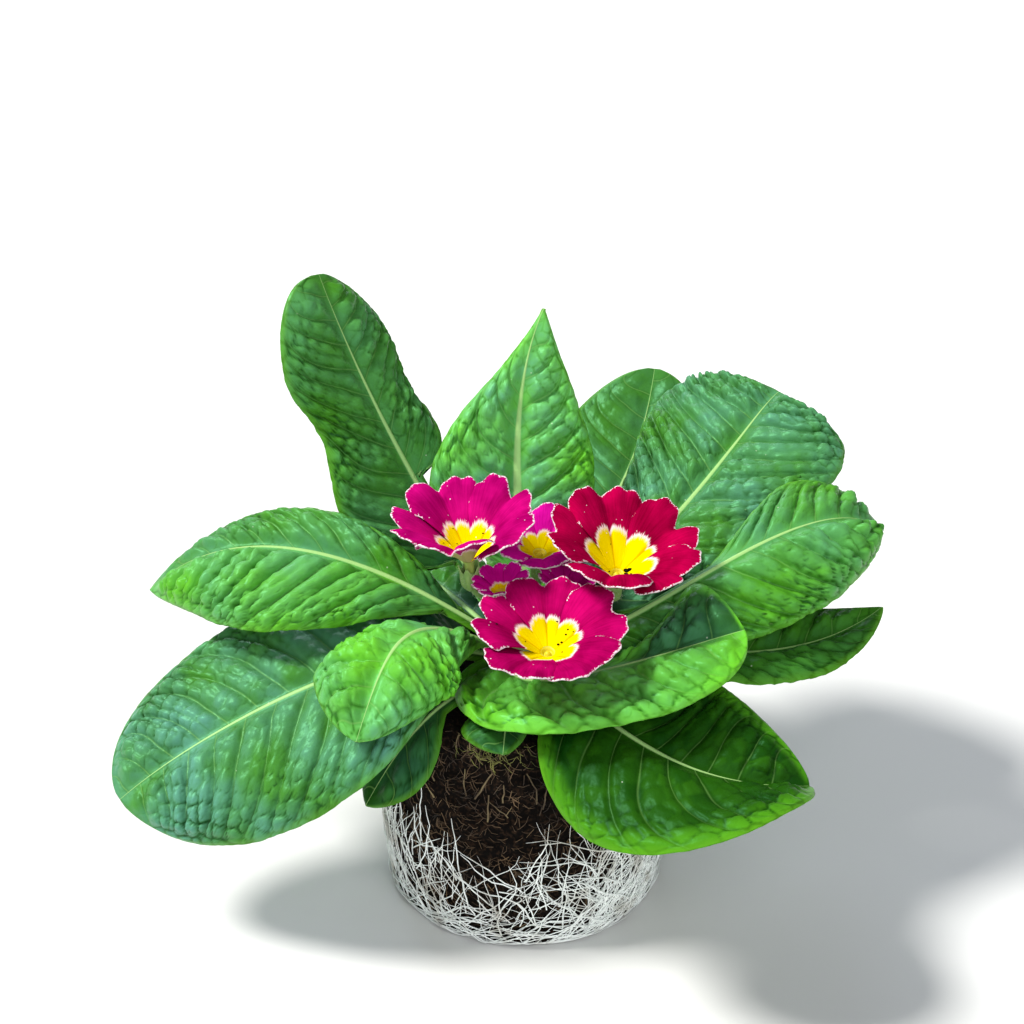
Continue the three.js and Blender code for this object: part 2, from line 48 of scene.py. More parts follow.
# ---------------------------------------------------------------- camera
# A 70 mm lens on a full-frame body, held at arm's length above a low bench and pointed down at the
# crown of the plant.
camera = bpy.data.objects.new("camera", bpy.data.cameras.new("camera"))
bpy.context.scene.collection.objects.link(camera)
bpy.context.scene.camera = camera
camera.data.lens = 70
camera.data.sensor_width = 36
CAMERA_PITCH = math.radians(27.6)  # below level
camera.location = (-0.00448, -0.58351, 0.44854)
camera.rotation_euler = (math.pi / 2 - CAMERA_PITCH, 0, 0)


# ---------------------------------------------------------------- floor and studio light
# A seamless pale paper floor under three soft lights: the main one high on the left, a weak cool one
# behind the plant that puts a sheen on its leaves, and a very broad fill from the front.
def linear(hex_colour, alpha=1.0):
    """The linear colour of an sRGB hex value."""
    parts = [int(hex_colour[i : i + 2], 16) / 255 for i in (1, 3, 5)]
    return tuple(c / 12.92 if c <= 0.04045 else ((c + 0.055) / 1.055) ** 2.4 for c in parts) + (alpha,)


def new_material(name):
    """A material with its node tree, and the shader that its nodes feed."""
    material = bpy.data.materials.new(name)
    material.use_nodes = True
    return material, material.node_tree, material.node_tree.nodes["Principled BSDF"]


def add(tree, kind, settings, links=None, give=None):
    """A shader node with its settings (properties and input values) and the outputs that its inputs
    take. Gives the output that is named, or else the first of its outputs that is in use."""
    node = tree.nodes.new("ShaderNode" + kind)
    for key, value in settings.items():
        if isinstance(key, str) and hasattr(node, key):
            setattr(node, key, value)
        else:
            node.inputs[key].default_value = value
    for key, output in (links or {}).items():
        tree.links.new(output, node.inputs[key])
    return node.outputs[give] if give else next(output for output in node.outputs if output.enabled)


def add_piece(name, mesh, materials, replaced=()):
    """A finished piece at the origin, which rides on the plant and stands for the replaced nodes."""
    piece = bpy.data.objects.new(name, mesh)
    bpy.context.scene.collection.objects.link(piece)
    for material in materials:
        mesh.materials.append(material)
    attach(piece, "root")
    if replaced:
        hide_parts(*replaced)
    return piece


FLOOR_HALF = 60.0  # metres, so that its edge lies near the horizon
bm = bmesh.new()
bmesh.ops.create_grid(bm, x_segments=1, y_segments=1, size=FLOOR_HALF)
floor_mesh = bpy.data.meshes.new("floor")
bm.to_mesh(floor_mesh)
bm.free()
floor = bpy.data.objects.new("floor", floor_mesh)
bpy.context.scene.collection.objects.link(floor)
floor_paper, _, shader = new_material("matt_pale_paper")  # rolled paper: pale grey, without a gleam
shader.inputs["Base Color"].default_value = linear("#e4e4e3")
shader.inputs["Roughness"].default_value = 0.9
floor_mesh.materials.append(floor_paper)

world = bpy.data.worlds.new("studio")
bpy.context.scene.world = world
world.use_nodes = True
sky = world.node_tree.nodes["Background"]
sky.inputs["Color"].default_value = linear("#eef5ff")
sky.inputs["Strength"].default_value = 0.26

SOFT_LIGHTS = {  # where each shines from, its width in degrees, its strength and its colour
    "overhead_soft_light": [(-0.72, 0.02, 1.0), 15, 4.2, "#fffdf8"],
    "back_sheen_light": [(-0.3, 1.0, 0.62), 26, 0.75, "#e3efff"],
    "front_fill_light": [(0.25, -1.0, 0.55), 60, 1.55, "#ffffff"],
}
for name, (place, width, strength, colour) in SOFT_LIGHTS.items():
    lamp = bpy.data.objects.new(name, bpy.data.lights.new(name, "SUN"))
    bpy.context.scene.collection.objects.link(lamp)
    lamp.data.angle = math.radians(width)
    lamp.data.energy = strength
    lamp.data.color = linear(colour)[:3]
    lamp.location = place
    lamp.rotation_euler = Vector(place).to_track_quat("Z", "Y").to_euler()
bpy.context.scene.view_settings.view_transform = "Standard"


# ---------------------------------------------------------------- peat of the root ball
# Moist black peat compost, pressed to the shape of the pot: crumbs and clods on the surface, with
# plant fibres and straw through it and a tuft of moss on the rim.
BALL_HEIGHT = 84 * MM
BALL_RADII = (47.4 * MM, 49.6 * MM, 48 * MM)  # at the base, at the waist, at the rim
BALL_ROUND = (3 * MM, 5 * MM)  # of the edges at the base and at the rim
CLOD = 1.6 * MM  # how far clods stand out and holes sink in
CLODS_PER_METRE = 150  # lumps of about 7 mm
CRUMBS_PER_METRE = 900  # crumbs of about 1 mm
BASE_LIFT = 0.6 * MM  # of the peat over the floor, where the lowest roots lie under it
WELD = 0.02 * MM  # within which the points of a seam or a pole are made one


def smooth(x, low, high):
    """0 below low, 1 above high and an even S between them."""
    s = np.clip((x - low) / (high - low), 0, 1)
    return s * s * (3 - 2 * s)


def ball_radius(z):
    """Radius of the root ball at a height: the inside of the pot, a little swollen."""
    base, waist, rim = BALL_RADII
    share = np.clip(z / BALL_HEIGHT, 0, 1)
    straight = base + (rim - base) * share
    swell = (waist - (base + rim) / 2) * np.sin(np.pi * share)
    near_base = np.maximum(0, BALL_ROUND[0] - z)
    near_rim = np.maximum(0, BALL_ROUND[1] - (BALL_HEIGHT - z))
    cut = BALL_ROUND[0] - np.sqrt(BALL_ROUND[0] ** 2 - np.minimum(near_base, BALL_ROUND[0]) ** 2)
    cut += BALL_ROUND[1] - np.sqrt(BALL_ROUND[1] ** 2 - np.minimum(near_rim, BALL_ROUND[1]) ** 2)
    return straight + swell - cut


def sheets(name, count, rows, columns, shape, weld=0):
    """A mesh of count grids. shape(along, across, number) places their points and may name values
    for each point; along runs from 0 to 1 and across from -1 to 1."""
    grids = bmesh.new()
    for number in range(count):
        place = Matrix.Translation((0, 0, number))
        bmesh.ops.create_grid(grids, x_segments=rows, y_segments=columns, size=1, matrix=place)
    mesh = bpy.data.meshes.new(name)
    grids.to_mesh(mesh)
    grids.free()
    flat = np.empty(len(mesh.vertices) * 3, np.float32)
    mesh.vertices.foreach_get("co", flat)
    grid = flat.reshape(-1, 3).astype(float)
    points, values = shape((grid[:, 0] + 1) / 2, grid[:, 1], grid[:, 2].round().astype(int))
    mesh.vertices.foreach_set("co", points.astype(np.float32).ravel())
    for key, value in values.items():
        mesh.attributes.new(key, "FLOAT", "POINT").data.foreach_set("value", value.astype(np.float32))
    if weld:
        grids = bmesh.new()
        grids.from_mesh(mesh)
        bmesh.ops.remove_doubles(grids, verts=grids.verts, dist=weld)
        bmesh.ops.recalc_face_normals(grids, faces=grids.faces)
        grids.to_mesh(mesh)
        grids.free()
    mesh.shade_smooth()
    return mesh


def ball_point(along, across, number):
    """The skin of the root ball, from the middle of its base up its side to the middle of its top."""
    base_share, side_share = 0.22, 0.56
    top_share = 1 - base_share - side_share
    side = np.clip((along - base_share) / side_share, 0, 1)
    z = BALL_HEIGHT * side
    inward = np.clip(along / base_share, 0, 1) * np.clip((1 - along) / top_share, 0, 1)
    radius = ball_radius(z) * inward
    angle = np.pi * across
    skin = np.stack([radius * np.cos(angle), radius * np.sin(angle), z], 1)
    outward = np.stack([np.cos(angle), np.sin(angle), np.zeros_like(angle)], 1)
    outward[along > base_share + side_share] = (0, 0, 1)
    outward[along < base_share] = (0, 0, 1)
    clods = []
    for point in skin:
        coarse = noise.fractal(Vector(point) * CLODS_PER_METRE, 0.8, 2.0, 3)
        fine = noise.noise(Vector(point) * CRUMBS_PER_METRE)
        clods.append(coarse * 0.8 + fine * 0.35 - 0.35)
    clods = np.array(clods)
    sunk = CLOD * clods * smooth(z, 0, 4 * MM)
    sunk[along < base_share] = BASE_LIFT
    return skin + outward * sunk[:, None], {"clod": clods}


peat, tree, shader = new_material("moist_peat")  # damp milled peat: black-brown and quite dull
place = add(tree, "TexCoord", {}, give="Object")
grain = add(tree, "TexNoise", {"Scale": 700.0, "Detail": 4.0}, {"Vector": place})  # crumbs of 1.4 mm
patch = add(tree, "TexNoise", {"Scale": 60.0, "Detail": 3.0}, {"Vector": place})  # wetter patches
dark = add(tree, "Mix", {"data_type": "RGBA", 6: linear("#020101"), 7: linear("#0d0805")}, {0: patch})
crumb = add(tree, "MapRange", {"From Min": 0.5, "From Max": 0.7}, {"Value": grain})
brown = add(tree, "Mix", {"data_type": "RGBA", 7: linear("#2c1f15")}, {0: crumb, 6: dark})
tree.links.new(brown, shader.inputs["Base Color"])
shader.inputs["Roughness"].default_value = 0.95
shader.inputs["Specular IOR Level"].default_value = 0.1
bump = add(tree, "Bump", {"Strength": 0.8, "Distance": 0.6 * MM}, {"Height": grain})
tree.links.new(bump, shader.inputs["Normal"])
peat_mesh = sheets("peat_ball", 1, 130, 200, ball_point, weld=WELD)
add_piece("peat_ball", peat_mesh, [peat], ["root_ball"])


# Loose fibres of sphagnum and straw that stick out of the peat, and the moss at its rim.
def strand_mesh(name, strands):
    """One mesh of thin round strands. Each strand is its points with the radius at each."""
    curve = bpy.data.curves.new(name, "CURVE")
    curve.dimensions = "3D"
    curve.bevel_depth = 1.0
    curve.bevel_resolution = 0
    curve.use_fill_caps = True
    for points, radii in strands:
        spline = curve.splines.new("POLY")
        spline.points.add(len(points) - 1)
        spline.points.foreach_set("co", np.c_[points, np.ones(len(points))].astype(np.float32).ravel())
        spline.points.foreach_set("radius", np.asarray(radii, np.float32))
    holder = bpy.data.objects.new(name, curve)
    mesh = bpy.data.meshes.new_from_object(holder)
    bpy.data.objects.remove(holder)
    mesh.shade_smooth()
    return mesh


def mottled(name, low, high, scale, roughness, detail=3.0, span=None):
    """A finish that wanders between two colours, in patches of a metre over the scale. A span is the
    part of the noise over which one colour passes into the other."""
    material, tree, shader = new_material(name)
    place = add(tree, "TexCoord", {}, give="Object")
    patches = add(tree, "TexNoise", {"Scale": scale, "Detail": detail}, {"Vector": place})
    if span:
        patches = add(tree, "MapRange", {"From Min": span[0], "From Max": span[1]}, {"Value": patches})
    mixed = add(tree, "Mix", {"data_type": "RGBA", 6: linear(low), 7: linear(high)}, {0: patches})
    tree.links.new(mixed, shader.inputs["Base Color"])
    shader.inputs["Roughness"].default_value = roughness
    return material, shader


def on_ball(azimuth, z, lift):
    """The point over the side of the ball at an azimuth and a height, lifted clear of it."""
    radius = ball_radius(z) + lift
    return np.stack([radius * np.cos(azimuth), radius * np.sin(azimuth), z], -1)


def wander(draw, azimuth, z, heading, length, step, bend, floor_z=0.8 * MM, lift=(0.0, 0.0)):
    """A path over the side of the ball that turns a little at each step and turns back at the base."""
    steps = max(3, round(length / step))
    z = max(z, floor_z)
    places = []
    lifts = np.interp(np.arange(steps), [0, steps / 2, steps - 1], [lift[0], lift[1], lift[0]])
    for _ in range(steps):
        places.append((azimuth, z))
        heading += draw.normal(0, bend)
        azimuth += step * math.cos(heading) / BALL_RADII[1]
        z += step * math.sin(heading)
        if z < floor_z:  # it turns along the floor and a little up again
            z = floor_z
            heading = abs(heading) * 0.4
        z = min(z, BALL_HEIGHT - 1 * MM)
    places = np.array(places)
    return on_ball(places[:, 0], places[:, 1], lifts)


FIBRES = {  # how many; how long and how thick in mm; heading in degrees and its spread; lowest height
    "dark_fibre": [3300, (2, 6), (0.08, 0.17), (0, 180), 0.1],
    "tan_fibre": [620, (2, 8), (0.09, 0.2), (0, 180), 0.1],
    "upright_straw": [90, (6, 17), (0.18, 0.38), (90, 16), 0.62],
    "moss_strand": [70, (2, 5), (0.1, 0.17), (0, 180), 0.9],
}
FIBRE_COLOURS = {  # from the wet, shaded ones to the dry ones on top
    "dark_fibre": ("#1e140c", "#5c472f"),
    "tan_fibre": ("#3a2b1e", "#7a6244"),
    "upright_straw": ("#4b3c28", "#8a7a55"),
    "moss_strand": ("#454a1c", "#8f8d48"),
}
FIBRE_STEP = 2.1 * MM
FIBRE_BEND = 0.22  # radians that it turns in a step
FIBRE_SUNK = 0.3 * MM  # how deep its ends are in the peat
FIBRE_LIFT = (0.4, 1.3)  # mm that its middle stands out
MOSS_AZIMUTH = (math.radians(256), math.radians(6))  # of the tuft on the rim, and its spread
draw = np.random.default_rng(5)
for name, (count, length, thick, (heading, spread), lowest) in FIBRES.items():
    strands = []
    for number in range(count):
        azimuth = draw.normal(*MOSS_AZIMUTH) if name == "moss_strand" else draw.uniform(0, 2 * math.pi)
        z = BALL_HEIGHT * draw.uniform(lowest, 0.99)
        turn = math.radians(heading + spread * draw.uniform(-1, 1))
        lift = (-FIBRE_SUNK, draw.uniform(*FIBRE_LIFT) * MM)
        far = draw.uniform(*length) * MM
        path = wander(draw, azimuth, z, turn, far, FIBRE_STEP, FIBRE_BEND, lift=lift)
        strands.append((path, draw.uniform(*thick) * MM * np.linspace(1, 0.6, len(path))))
    # dried stems and leaflets: dull, and lighter where the air has dried them
    fibre = mottled("dry_" + name, *FIBRE_COLOURS[name], 130.0, 0.75, detail=2.0, span=(0.35, 0.65))[0]
    add_piece("peat_" + name, strand_mesh(name, strands), [fibre])

# ---------------------------------------------------------------- roots
# White feeding roots that ran down the wall of the pot and round its floor: a sparse web at half
# height that thickens to a felted mat at the base.
ROOT_RADIUS = (0.12 * MM, 0.31 * MM)
ROOT_STEP = 3.6 * MM
ROOT_BEND = 0.24  # radians that it turns in a step
ROOT_LIFT = ((-0.2, 0.5), (0.2, 2.0))  # mm that its ends and its middle lie over the peat
ROOTS_BACK = 0.3  # the share of them that run the other way round
ROOT_TAPER = ([0, 0.5, 1], [1, 0.9, 0.35])  # shares of its length, and of its thickness there
ROOT_GROUPS = [  # how many; azimuths, heights in mm; heading and its spread in degrees; length in mm
    [320, (294, 362), (2, 40), (46, 16), (18, 52)],  # the felt that climbs on the right
    [110, (176, 232), (2, 34), (108, 30), (14, 38)],  # the band on the left
    [190, (0, 360), (0, 8), (6, 22), (24, 66)],  # the mat round the base
    [64, (226, 300), (5, 25), (84, 55), (12, 34)],  # the open web in the middle
    [56, (0, 360), (16, 30), (90, 26), (10, 30)],  # single roots that reach up the wall
    [190, (0, 176), (1, 34), (62, 44), (20, 50)],  # the far side
]
draw = np.random.default_rng(21)
roots = []
for count, azimuths, (low, high), (heading, spread), lengths in ROOT_GROUPS:
    for number in range(count):
        azimuth = math.radians(draw.uniform(*azimuths))
        z = (low + (high - low) * draw.random() ** 1.4) * MM
        turn = math.radians(heading + draw.normal(0, spread))
        if draw.random() < ROOTS_BACK:
            turn = math.pi - turn
        lift = [draw.uniform(*heights) * MM for heights in ROOT_LIFT]
        far = draw.uniform(*lengths) * MM
        path = wander(draw, azimuth, z, turn, far, ROOT_STEP, ROOT_BEND, lift=lift)
        thick = draw.uniform(*ROOT_RADIUS)
        roots.append((path, thick * np.interp(np.linspace(0, 1, len(path)), *ROOT_TAPER)))

SPIRALS = {"count": 110, "points": 16, "thick": 0.28 * MM}  # roots that circled on the pot's floor
for number in range(SPIRALS["count"]):
    points = SPIRALS["points"]
    angle = draw.uniform(0, 2 * math.pi) + np.linspace(0, draw.uniform(0.8, 2.4), points)
    radius = np.linspace(1, draw.uniform(0.6, 1.1), points) * draw.uniform(8, 44) * MM
    radius = np.minimum(radius, BALL_RADII[0] - 1 * MM)
    height = np.full(points, draw.uniform(0.3, 0.7) * MM)
    path = np.stack([radius * np.cos(angle), radius * np.sin(angle), height], 1)
    roots.append((path, np.full(points, SPIRALS["thick"])))

# living root skin, grown in moist dark: waxy white, a little glassy, soiled in places
root_skin = mottled("living_root", "#fafffc", "#b5ae9f", 90.0, 0.45, span=(0.5, 0.75))[0]
add_piece("root_web", strand_mesh("root_web", roots), [root_skin], ["root_net"])

# ---------------------------------------------------------------- crown
# The short fleshy stem between roots and leaves, pale green and ringed with the scars of old leaves.
# It grew out of the middle of the peat, and its foot stands in a socket there.
CROWN = {"radius": 13 * MM, "top_radius": 7 * MM, "rise": 22 * MM, "sink": 8 * MM}


def crown_point(along, across, number):
    """The crown from the middle of its foot round to the middle of its top."""
    stations = np.array([0, 0.15, 0.35, 0.5, 0.68, 0.86, 0.94, 1])
    radius, top = CROWN["radius"], CROWN["top_radius"]
    widths = [0, radius - 4 * MM, radius, radius, radius - 2 * MM, top, top - 3 * MM, 0]
    radii = np.interp(along, stations, widths)
    sink, rise = CROWN["sink"], CROWN["rise"]
    heights = [-sink, -sink, -sink / 3, rise * 0.2, rise * 0.5, rise * 0.9, rise, rise]
    height = BALL_HEIGHT + np.interp(along, stations, heights)
    angle = np.pi * across
    scars = 0.35 * MM * np.sin(height / MM * 1.9 + 2 * np.sin(3 * angle)) * smooth(along, 0.35, 0.5)
    radii = np.maximum(0, radii + scars * (radii > 0))
    return np.stack([radii * np.cos(angle), radii * np.sin(angle), height], 1), {}


# stem flesh under a thin skin: pale green, paler in blotches, with a faint gleam
fleshy = mottled("fleshy_stem", "#6f8a3c", "#a9b978", 120.0, 0.5)[0]
crown_mesh = sheets("crown_stem", 1, 40, 60, crown_point, weld=WELD)
add_piece("crown_stem", crown_mesh, [fleshy], ["crown"])

# ---------------------------------------------------------------- leaves
# Primrose leaves: a pale fleshy midrib that widens to the stalk, side veins that bend towards the
# tip, and a blade that bulges up between the veins into a quilt of blisters, with a crinkled margin.
# They grow round the crown in a rosette, the oldest ones lowest.
#
# Left and right are those of someone who looks out along the leaf, and a pair gives both where they
# differ. Only roll is a pair from the stalk to the tip. Angles are in degrees and sizes in mm.
#   midrib: azimuth, reach and rise above the soil, at equal steps
#   half_width; widest: at which share of the blade it is reached; blunt: the less, the rounder the
#     ends; blade_from: at which share of the midrib the blade opens; waist: how far it narrows there
#   roll: turn about the midrib; fold: how far each half tilts up; curl: how far it bends on its way
#     to the margin; fold_tip and curl_tip: the same at the tip, where it differs
#   tone: 0 for an old dark leaf, 1 for a young bright one; it is also lowered to paint shade on
#     leaves, and on halves of leaves, that lie in shade, and raised to paint light on lit ones;
#     hem: how much brighter its margin is; cool: how strong the cool sheen painted on the tops of its
#     blisters is; quilt: how strongly it is blistered; rib: how much wider than usual its midrib is
LEAVES = {
    "leaf_west_low": dict(
        midrib=[(200, 8, 3.5), (195, 50, 9.5), (192.5, 100, -9), (193, 141, -34)],
        half_width=(46.5, 44.5), widest=0.46, blunt=0.47, blade_from=(0.2, 0.08),
        roll=(0, -30), fold=(0, 4), curl=(22, 16), curl_tip=(34, 16),
        tone=0.46, cool=0.95, quilt=0.95),
    "leaf_west_high": dict(
        midrib=[(168, 8, 9), (166, 48, 28), (166, 94, 34), (167, 137, 12)],
        half_width=(36, 19.4), widest=0.54, blunt=0.72, blade_from=(0.18, 0.14),
        roll=(0, -14), fold=(0, 36), fold_tip=(0, 6), curl=(38, 24),
        tone=(1.1, 0.64), cool=0.5, quilt=(1.2, 0.95)),
    "leaf_front_left": dict(
        midrib=[(206, 8, 9), (205, 35, 23.5), (216, 55, 23.5), (226, 78, 6)],
        half_width=(27, 27), widest=0.58, blunt=0.6, blade_from=(0.07, 0.33),
        roll=(10, -10), fold=(0, -34), fold_tip=(0, 10), curl=(56, 34),
        tone=1.3, cool=0.6, quilt=1.35),
    "leaf_front_left_low": dict(
        midrib=[(226, 8, 1), (227, 34, 3.6), (226, 54, -3), (223, 72, -24)],
        half_width=(16, 18), widest=0.62, blunt=0.7, blade_from=(0.46, 0.46),
        roll=(0, 0), fold=(0, 0), curl=(20, 20),
        tone=0.1, cool=0.2, quilt=0.7),
    "leaf_front_low": dict(
        midrib=[(258, 8, 1.5), (260, 28, 2.8), (261, 41, 2.8), (262, 53, -1)],
        half_width=(9, 16), widest=0.62, blunt=0.6, blade_from=(0.2, 0.3),
        roll=(0, 0), fold=(0, 0), curl=(12, 12),
        tone=0.1, cool=0.2, quilt=0.6),
    # its far (left) half is painted darker by its tone, as in shade
    "leaf_front_right": dict(
        midrib=[(250, 8, 8), (281, 30, 12.5), (320, 48.5, 21), (341, 76, 29)],
        half_width=(27, 31), widest=(0.88, 0.5), blunt=(0.8, 0.47), blade_from=(0.12, 0),
        roll=(0, 22), fold=(-9, -8), fold_tip=(40, -6), curl=(20, 14), curl_tip=(20, 32),
        tone=(0.17, 1.05), hem=(1.3, 0.55), cool=0.35, quilt=(1.2, 1.05)),
    "leaf_front_right_low": dict(
        midrib=[(304, 8, 1.5), (301, 50, 6.5), (311, 79, -1), (328, 108, -10)],
        half_width=(40, 39), widest=0.5, blunt=0.5, blade_from=(0.16, 0.2),
        roll=(0, 0), fold=(0, -12), fold_tip=(24, 44), curl=(10, 40), curl_tip=(10, 10),
        tone=0.1, hem=(0.5, 0.5), cool=0, quilt=0.65),
    "leaf_east_high": dict(
        midrib=[(344, 8, 9), (352.6, 44.3, 28.4), (7.1, 87.3, 45.3), (14.8, 129.5, 35.8)],
        half_width=(24.5, 31), widest=(0.68, 0.62), blunt=0.6, blade_from=(0.48, 0.06),
        roll=(0, 26), fold=(12, -38), fold_tip=(12, 6), curl=(6, 36), curl_tip=(8, 64),
        tone=0.8, cool=0.5, quilt=(1.0, 1.3)),
    "leaf_east_low": dict(
        midrib=[(352, 8, 3.5), (352, 46, 9), (358, 86, 8), (6, 125, 16)],
        half_width=(24, 20), widest=0.55, blunt=0.85, blade_from=(0.14, 0.14),
        roll=(0, 10), fold=(14, 14), curl=(20, 14), curl_tip=(20, 34),
        tone=0.35, cool=0.1, quilt=1),
    "leaf_north_east": dict(
        midrib=[(32, 8, 11), (37.5, 60.6, 32.2), (41.5, 103.1, 52.8), (42.9, 128.4, 63.9)],
        half_width=(44, 41), widest=(0.74, 0.62), blunt=(0.36, 0.3), blade_from=(0.12, 0.1),
        roll=(0, 3), fold=(12, 2), fold_tip=(12, -3), curl=(14, 26), curl_tip=(30, 26),
        tone=0.5, cool=0.75, quilt=(1.15, 1.05)),
    "leaf_north_behind": dict(
        midrib=[(62, 8, 7), (63.9, 51.6, 21.1), (65.6, 95.6, 32.8), (67.4, 131.3, 58.8)],
        half_width=(33, 30), widest=0.62, blunt=0.5, blade_from=(0.12, 0.12),
        roll=(0, 8), fold=(6, 6), curl=(10, 16),
        tone=0.36, cool=0.3, quilt=0.4),
    "leaf_north": dict(
        midrib=[(92, 8, 10), (93, 38, 31), (92, 58, 67), (84.5, 73, 103)],
        half_width=(32, 29), widest=(0.36, 0.42), blunt=(2.2, 0.92), blade_from=(0.2, 0.12),
        roll=(0, 0), fold=(8, 8), curl=(18, 22),
        tone=1.2, hem=(0.5, 0.5), cool=0.8, quilt=0.95, rib=1.8),
    "leaf_north_west": dict(
        midrib=[(140, 7, 13), (127, 55, 38), (134, 80, 79), (136, 100, 117)],
        half_width=(34, 27), widest=0.46, blunt=0.42, blade_from=(0.2, 0.42), waist=0.3,
        roll=(-28, 4), fold=(4, -10), curl=(10, 24),
        tone=0.52, cool=0.35, quilt=1.05),
    "leaf_back_right_low": dict(
        midrib=[(28, 8, 2), (28, 46, 6), (30, 84, 2), (32, 118, -20)],
        half_width=(32, 32), widest=0.6, blunt=0.65, blade_from=(0.14, 0.14),
        roll=(0, 0), fold=(4, 4), curl=(26, 26),
        tone=0.4, cool=0.4, quilt=0.9),
    "leaf_back_low": dict(
        midrib=[(76, 8, 2), (78, 44, 7), (79, 84, 3), (80, 120, -22)],
        half_width=(32, 32), widest=0.6, blunt=0.65, blade_from=(0.14, 0.14),
        roll=(0, 0), fold=(4, 4), curl=(26, 26),
        tone=0.45, cool=0.4, quilt=0.9),
    "leaf_back_left_low": dict(
        midrib=[(126, 8, 2), (125, 44, 6), (124, 82, 0), (123, 116, -26)],
        half_width=(32, 32), widest=0.6, blunt=0.65, blade_from=(0.14, 0.14),
        roll=(0, 0), fold=(4, 4), curl=(26, 26),
        tone=0.35, cool=0.4, quilt=0.9),
}
PETIOLE_HALF = 3.6  # mm, of the winged stalk
BLADE = 0.75  # mm thick
BLADE_END = 0.997  # the share of its length where the blade stops, just short of a point
WAIST_AT = (0.6, 0.13)  # the share of its length where a leaf is waisted, and over how much of it
RIB_HALF = (1.5, 0.3)  # mm, half width of the pale midrib at the stalk and at the tip
RIB_DEPTH = (3.0, 0.6)  # mm that it stands out below, at the stalk and at the tip
RIB_RISE = 0.6  # mm that it stands out above
VEIN_PITCH = 10.5  # mm from one side vein to the next
VEIN_SHIFT = 0.45  # of a pitch, from the side veins on the left to those on the right
VEIN_DEPTH = 0.35  # mm that a side vein stands out below
VEIN_SWEEP = (0.55, 0.3)  # how the side veins run forward, from the midrib on and near the margin
PILLOW = 2.1  # mm that the blade bulges between side veins
BLISTER = (1.75, 0.75)  # mm that the large and the small blisters stand out
BLISTER_PITCH = (5.4, 3.1)  # mm across a large and a small blister
NET_LEAN = math.radians(38)  # of the net of blisters, to follow the side veins
NET_FROM = (400, 20)  # mm, where a leaf begins on the net: across the side veins and along them
VALLEY = 0.62  # width of the valleys between blisters, as a share of their pitch
HEM = 9 * MM  # width of a brighter margin
SCALLOP = 0.22  # mm that the rounded teeth of the margin stand out
MARGIN_DROP = 0.7  # mm that the blade turns down at its very margin
SETTLE = 0.3  # mm that the upper face is lowered, as its relief only stands out
MESH_STEP = 0.9  # mm between the points of the leaf's mesh


def around_crown(stations):
    """Points from their azimuth, reach and rise above the soil, in degrees and mm, in metres."""
    places = []
    for azimuth, reach, rise in stations:
        angle = math.radians(azimuth)
        out = reach * MM
        places.append((out * math.cos(angle), out * math.sin(angle), BALL_HEIGHT + rise * MM))
    return np.array(places)


def unit(vectors):
    """The vectors at a length of 1."""
    return vectors / np.linalg.norm(vectors, axis=-1, keepdims=True)


def cubic_through(four, t):
    """The points and unit headings at t of the cubic that passes four points at equal steps."""
    a, b, c, d = four
    first = (-5 * a + 18 * b - 9 * c + 2 * d) / 6
    second = (-5 * d + 18 * c - 9 * b + 2 * a) / 6
    t = np.asarray(t)[..., None]
    s = 1 - t
    place = s**3 * a + 3 * s**2 * t * first + 3 * s * t**2 * second + t**3 * d
    heading = s**2 * (first - a) + 2 * s * t * (second - first) + t**2 * (d - second)
    return place, unit(heading)


def on_side(across, value):
    """A value of the leaf at each point: its left one or its right one, where there are two."""
    return np.where(across > 0, *np.broadcast_to(value, 2))


def sweep(wing):
    """How far the side veins have run forward at a share of the way to the margin."""
    return VEIN_SWEEP[0] * wing + VEIN_SWEEP[1] * wing**3


def leaf_frame(leaf, t):
    """The midrib's point at t, the direction to its left and the direction out of its upper face."""
    four = around_crown(leaf["midrib"])
    stations = np.linspace(0, 1, 25)
    azimuth = math.radians(leaf["midrib"][1][0])
    left = np.array([-math.sin(azimuth), math.cos(azimuth), 0])
    lefts = []
    for heading in cubic_through(four, stations)[1]:
        left = unit(left - heading * left.dot(heading))
        lefts.append(left)
    lefts = np.array(lefts)
    place, heading = cubic_through(four, t)
    side = np.stack([np.interp(t, stations, lefts[:, axis]) for axis in range(3)], -1)
    roll = np.radians(leaf["roll"][0] + (leaf["roll"][1] - leaf["roll"][0]) * t)[..., None]
    side = side * np.cos(roll) + np.cross(heading, side) * np.sin(roll)
    side = unit(side - heading * np.sum(side * heading, -1, keepdims=True))
    return place, side, np.cross(heading, side)


def leaf_half_width(leaf, t, across):
    """Half width in metres: a winged stalk that opens into a blunt blade."""
    parts = ("blade_from", "half_width", "widest", "blunt")
    start, greatest, widest, blunt = (on_side(across, leaf[key]) for key in parts)
    u = np.clip((t - start) / (1 - start), 0, BLADE_END)
    blade = np.sin(np.pi * u ** (math.log(0.5) / np.log(widest))) ** blunt
    waist = 1 - leaf.get("waist", 0) * np.exp(-(((t - WAIST_AT[0]) / WAIST_AT[1]) ** 2))
    return (PETIOLE_HALF * np.sqrt(1 - u) + (greatest - PETIOLE_HALF) * blade * waist) * MM


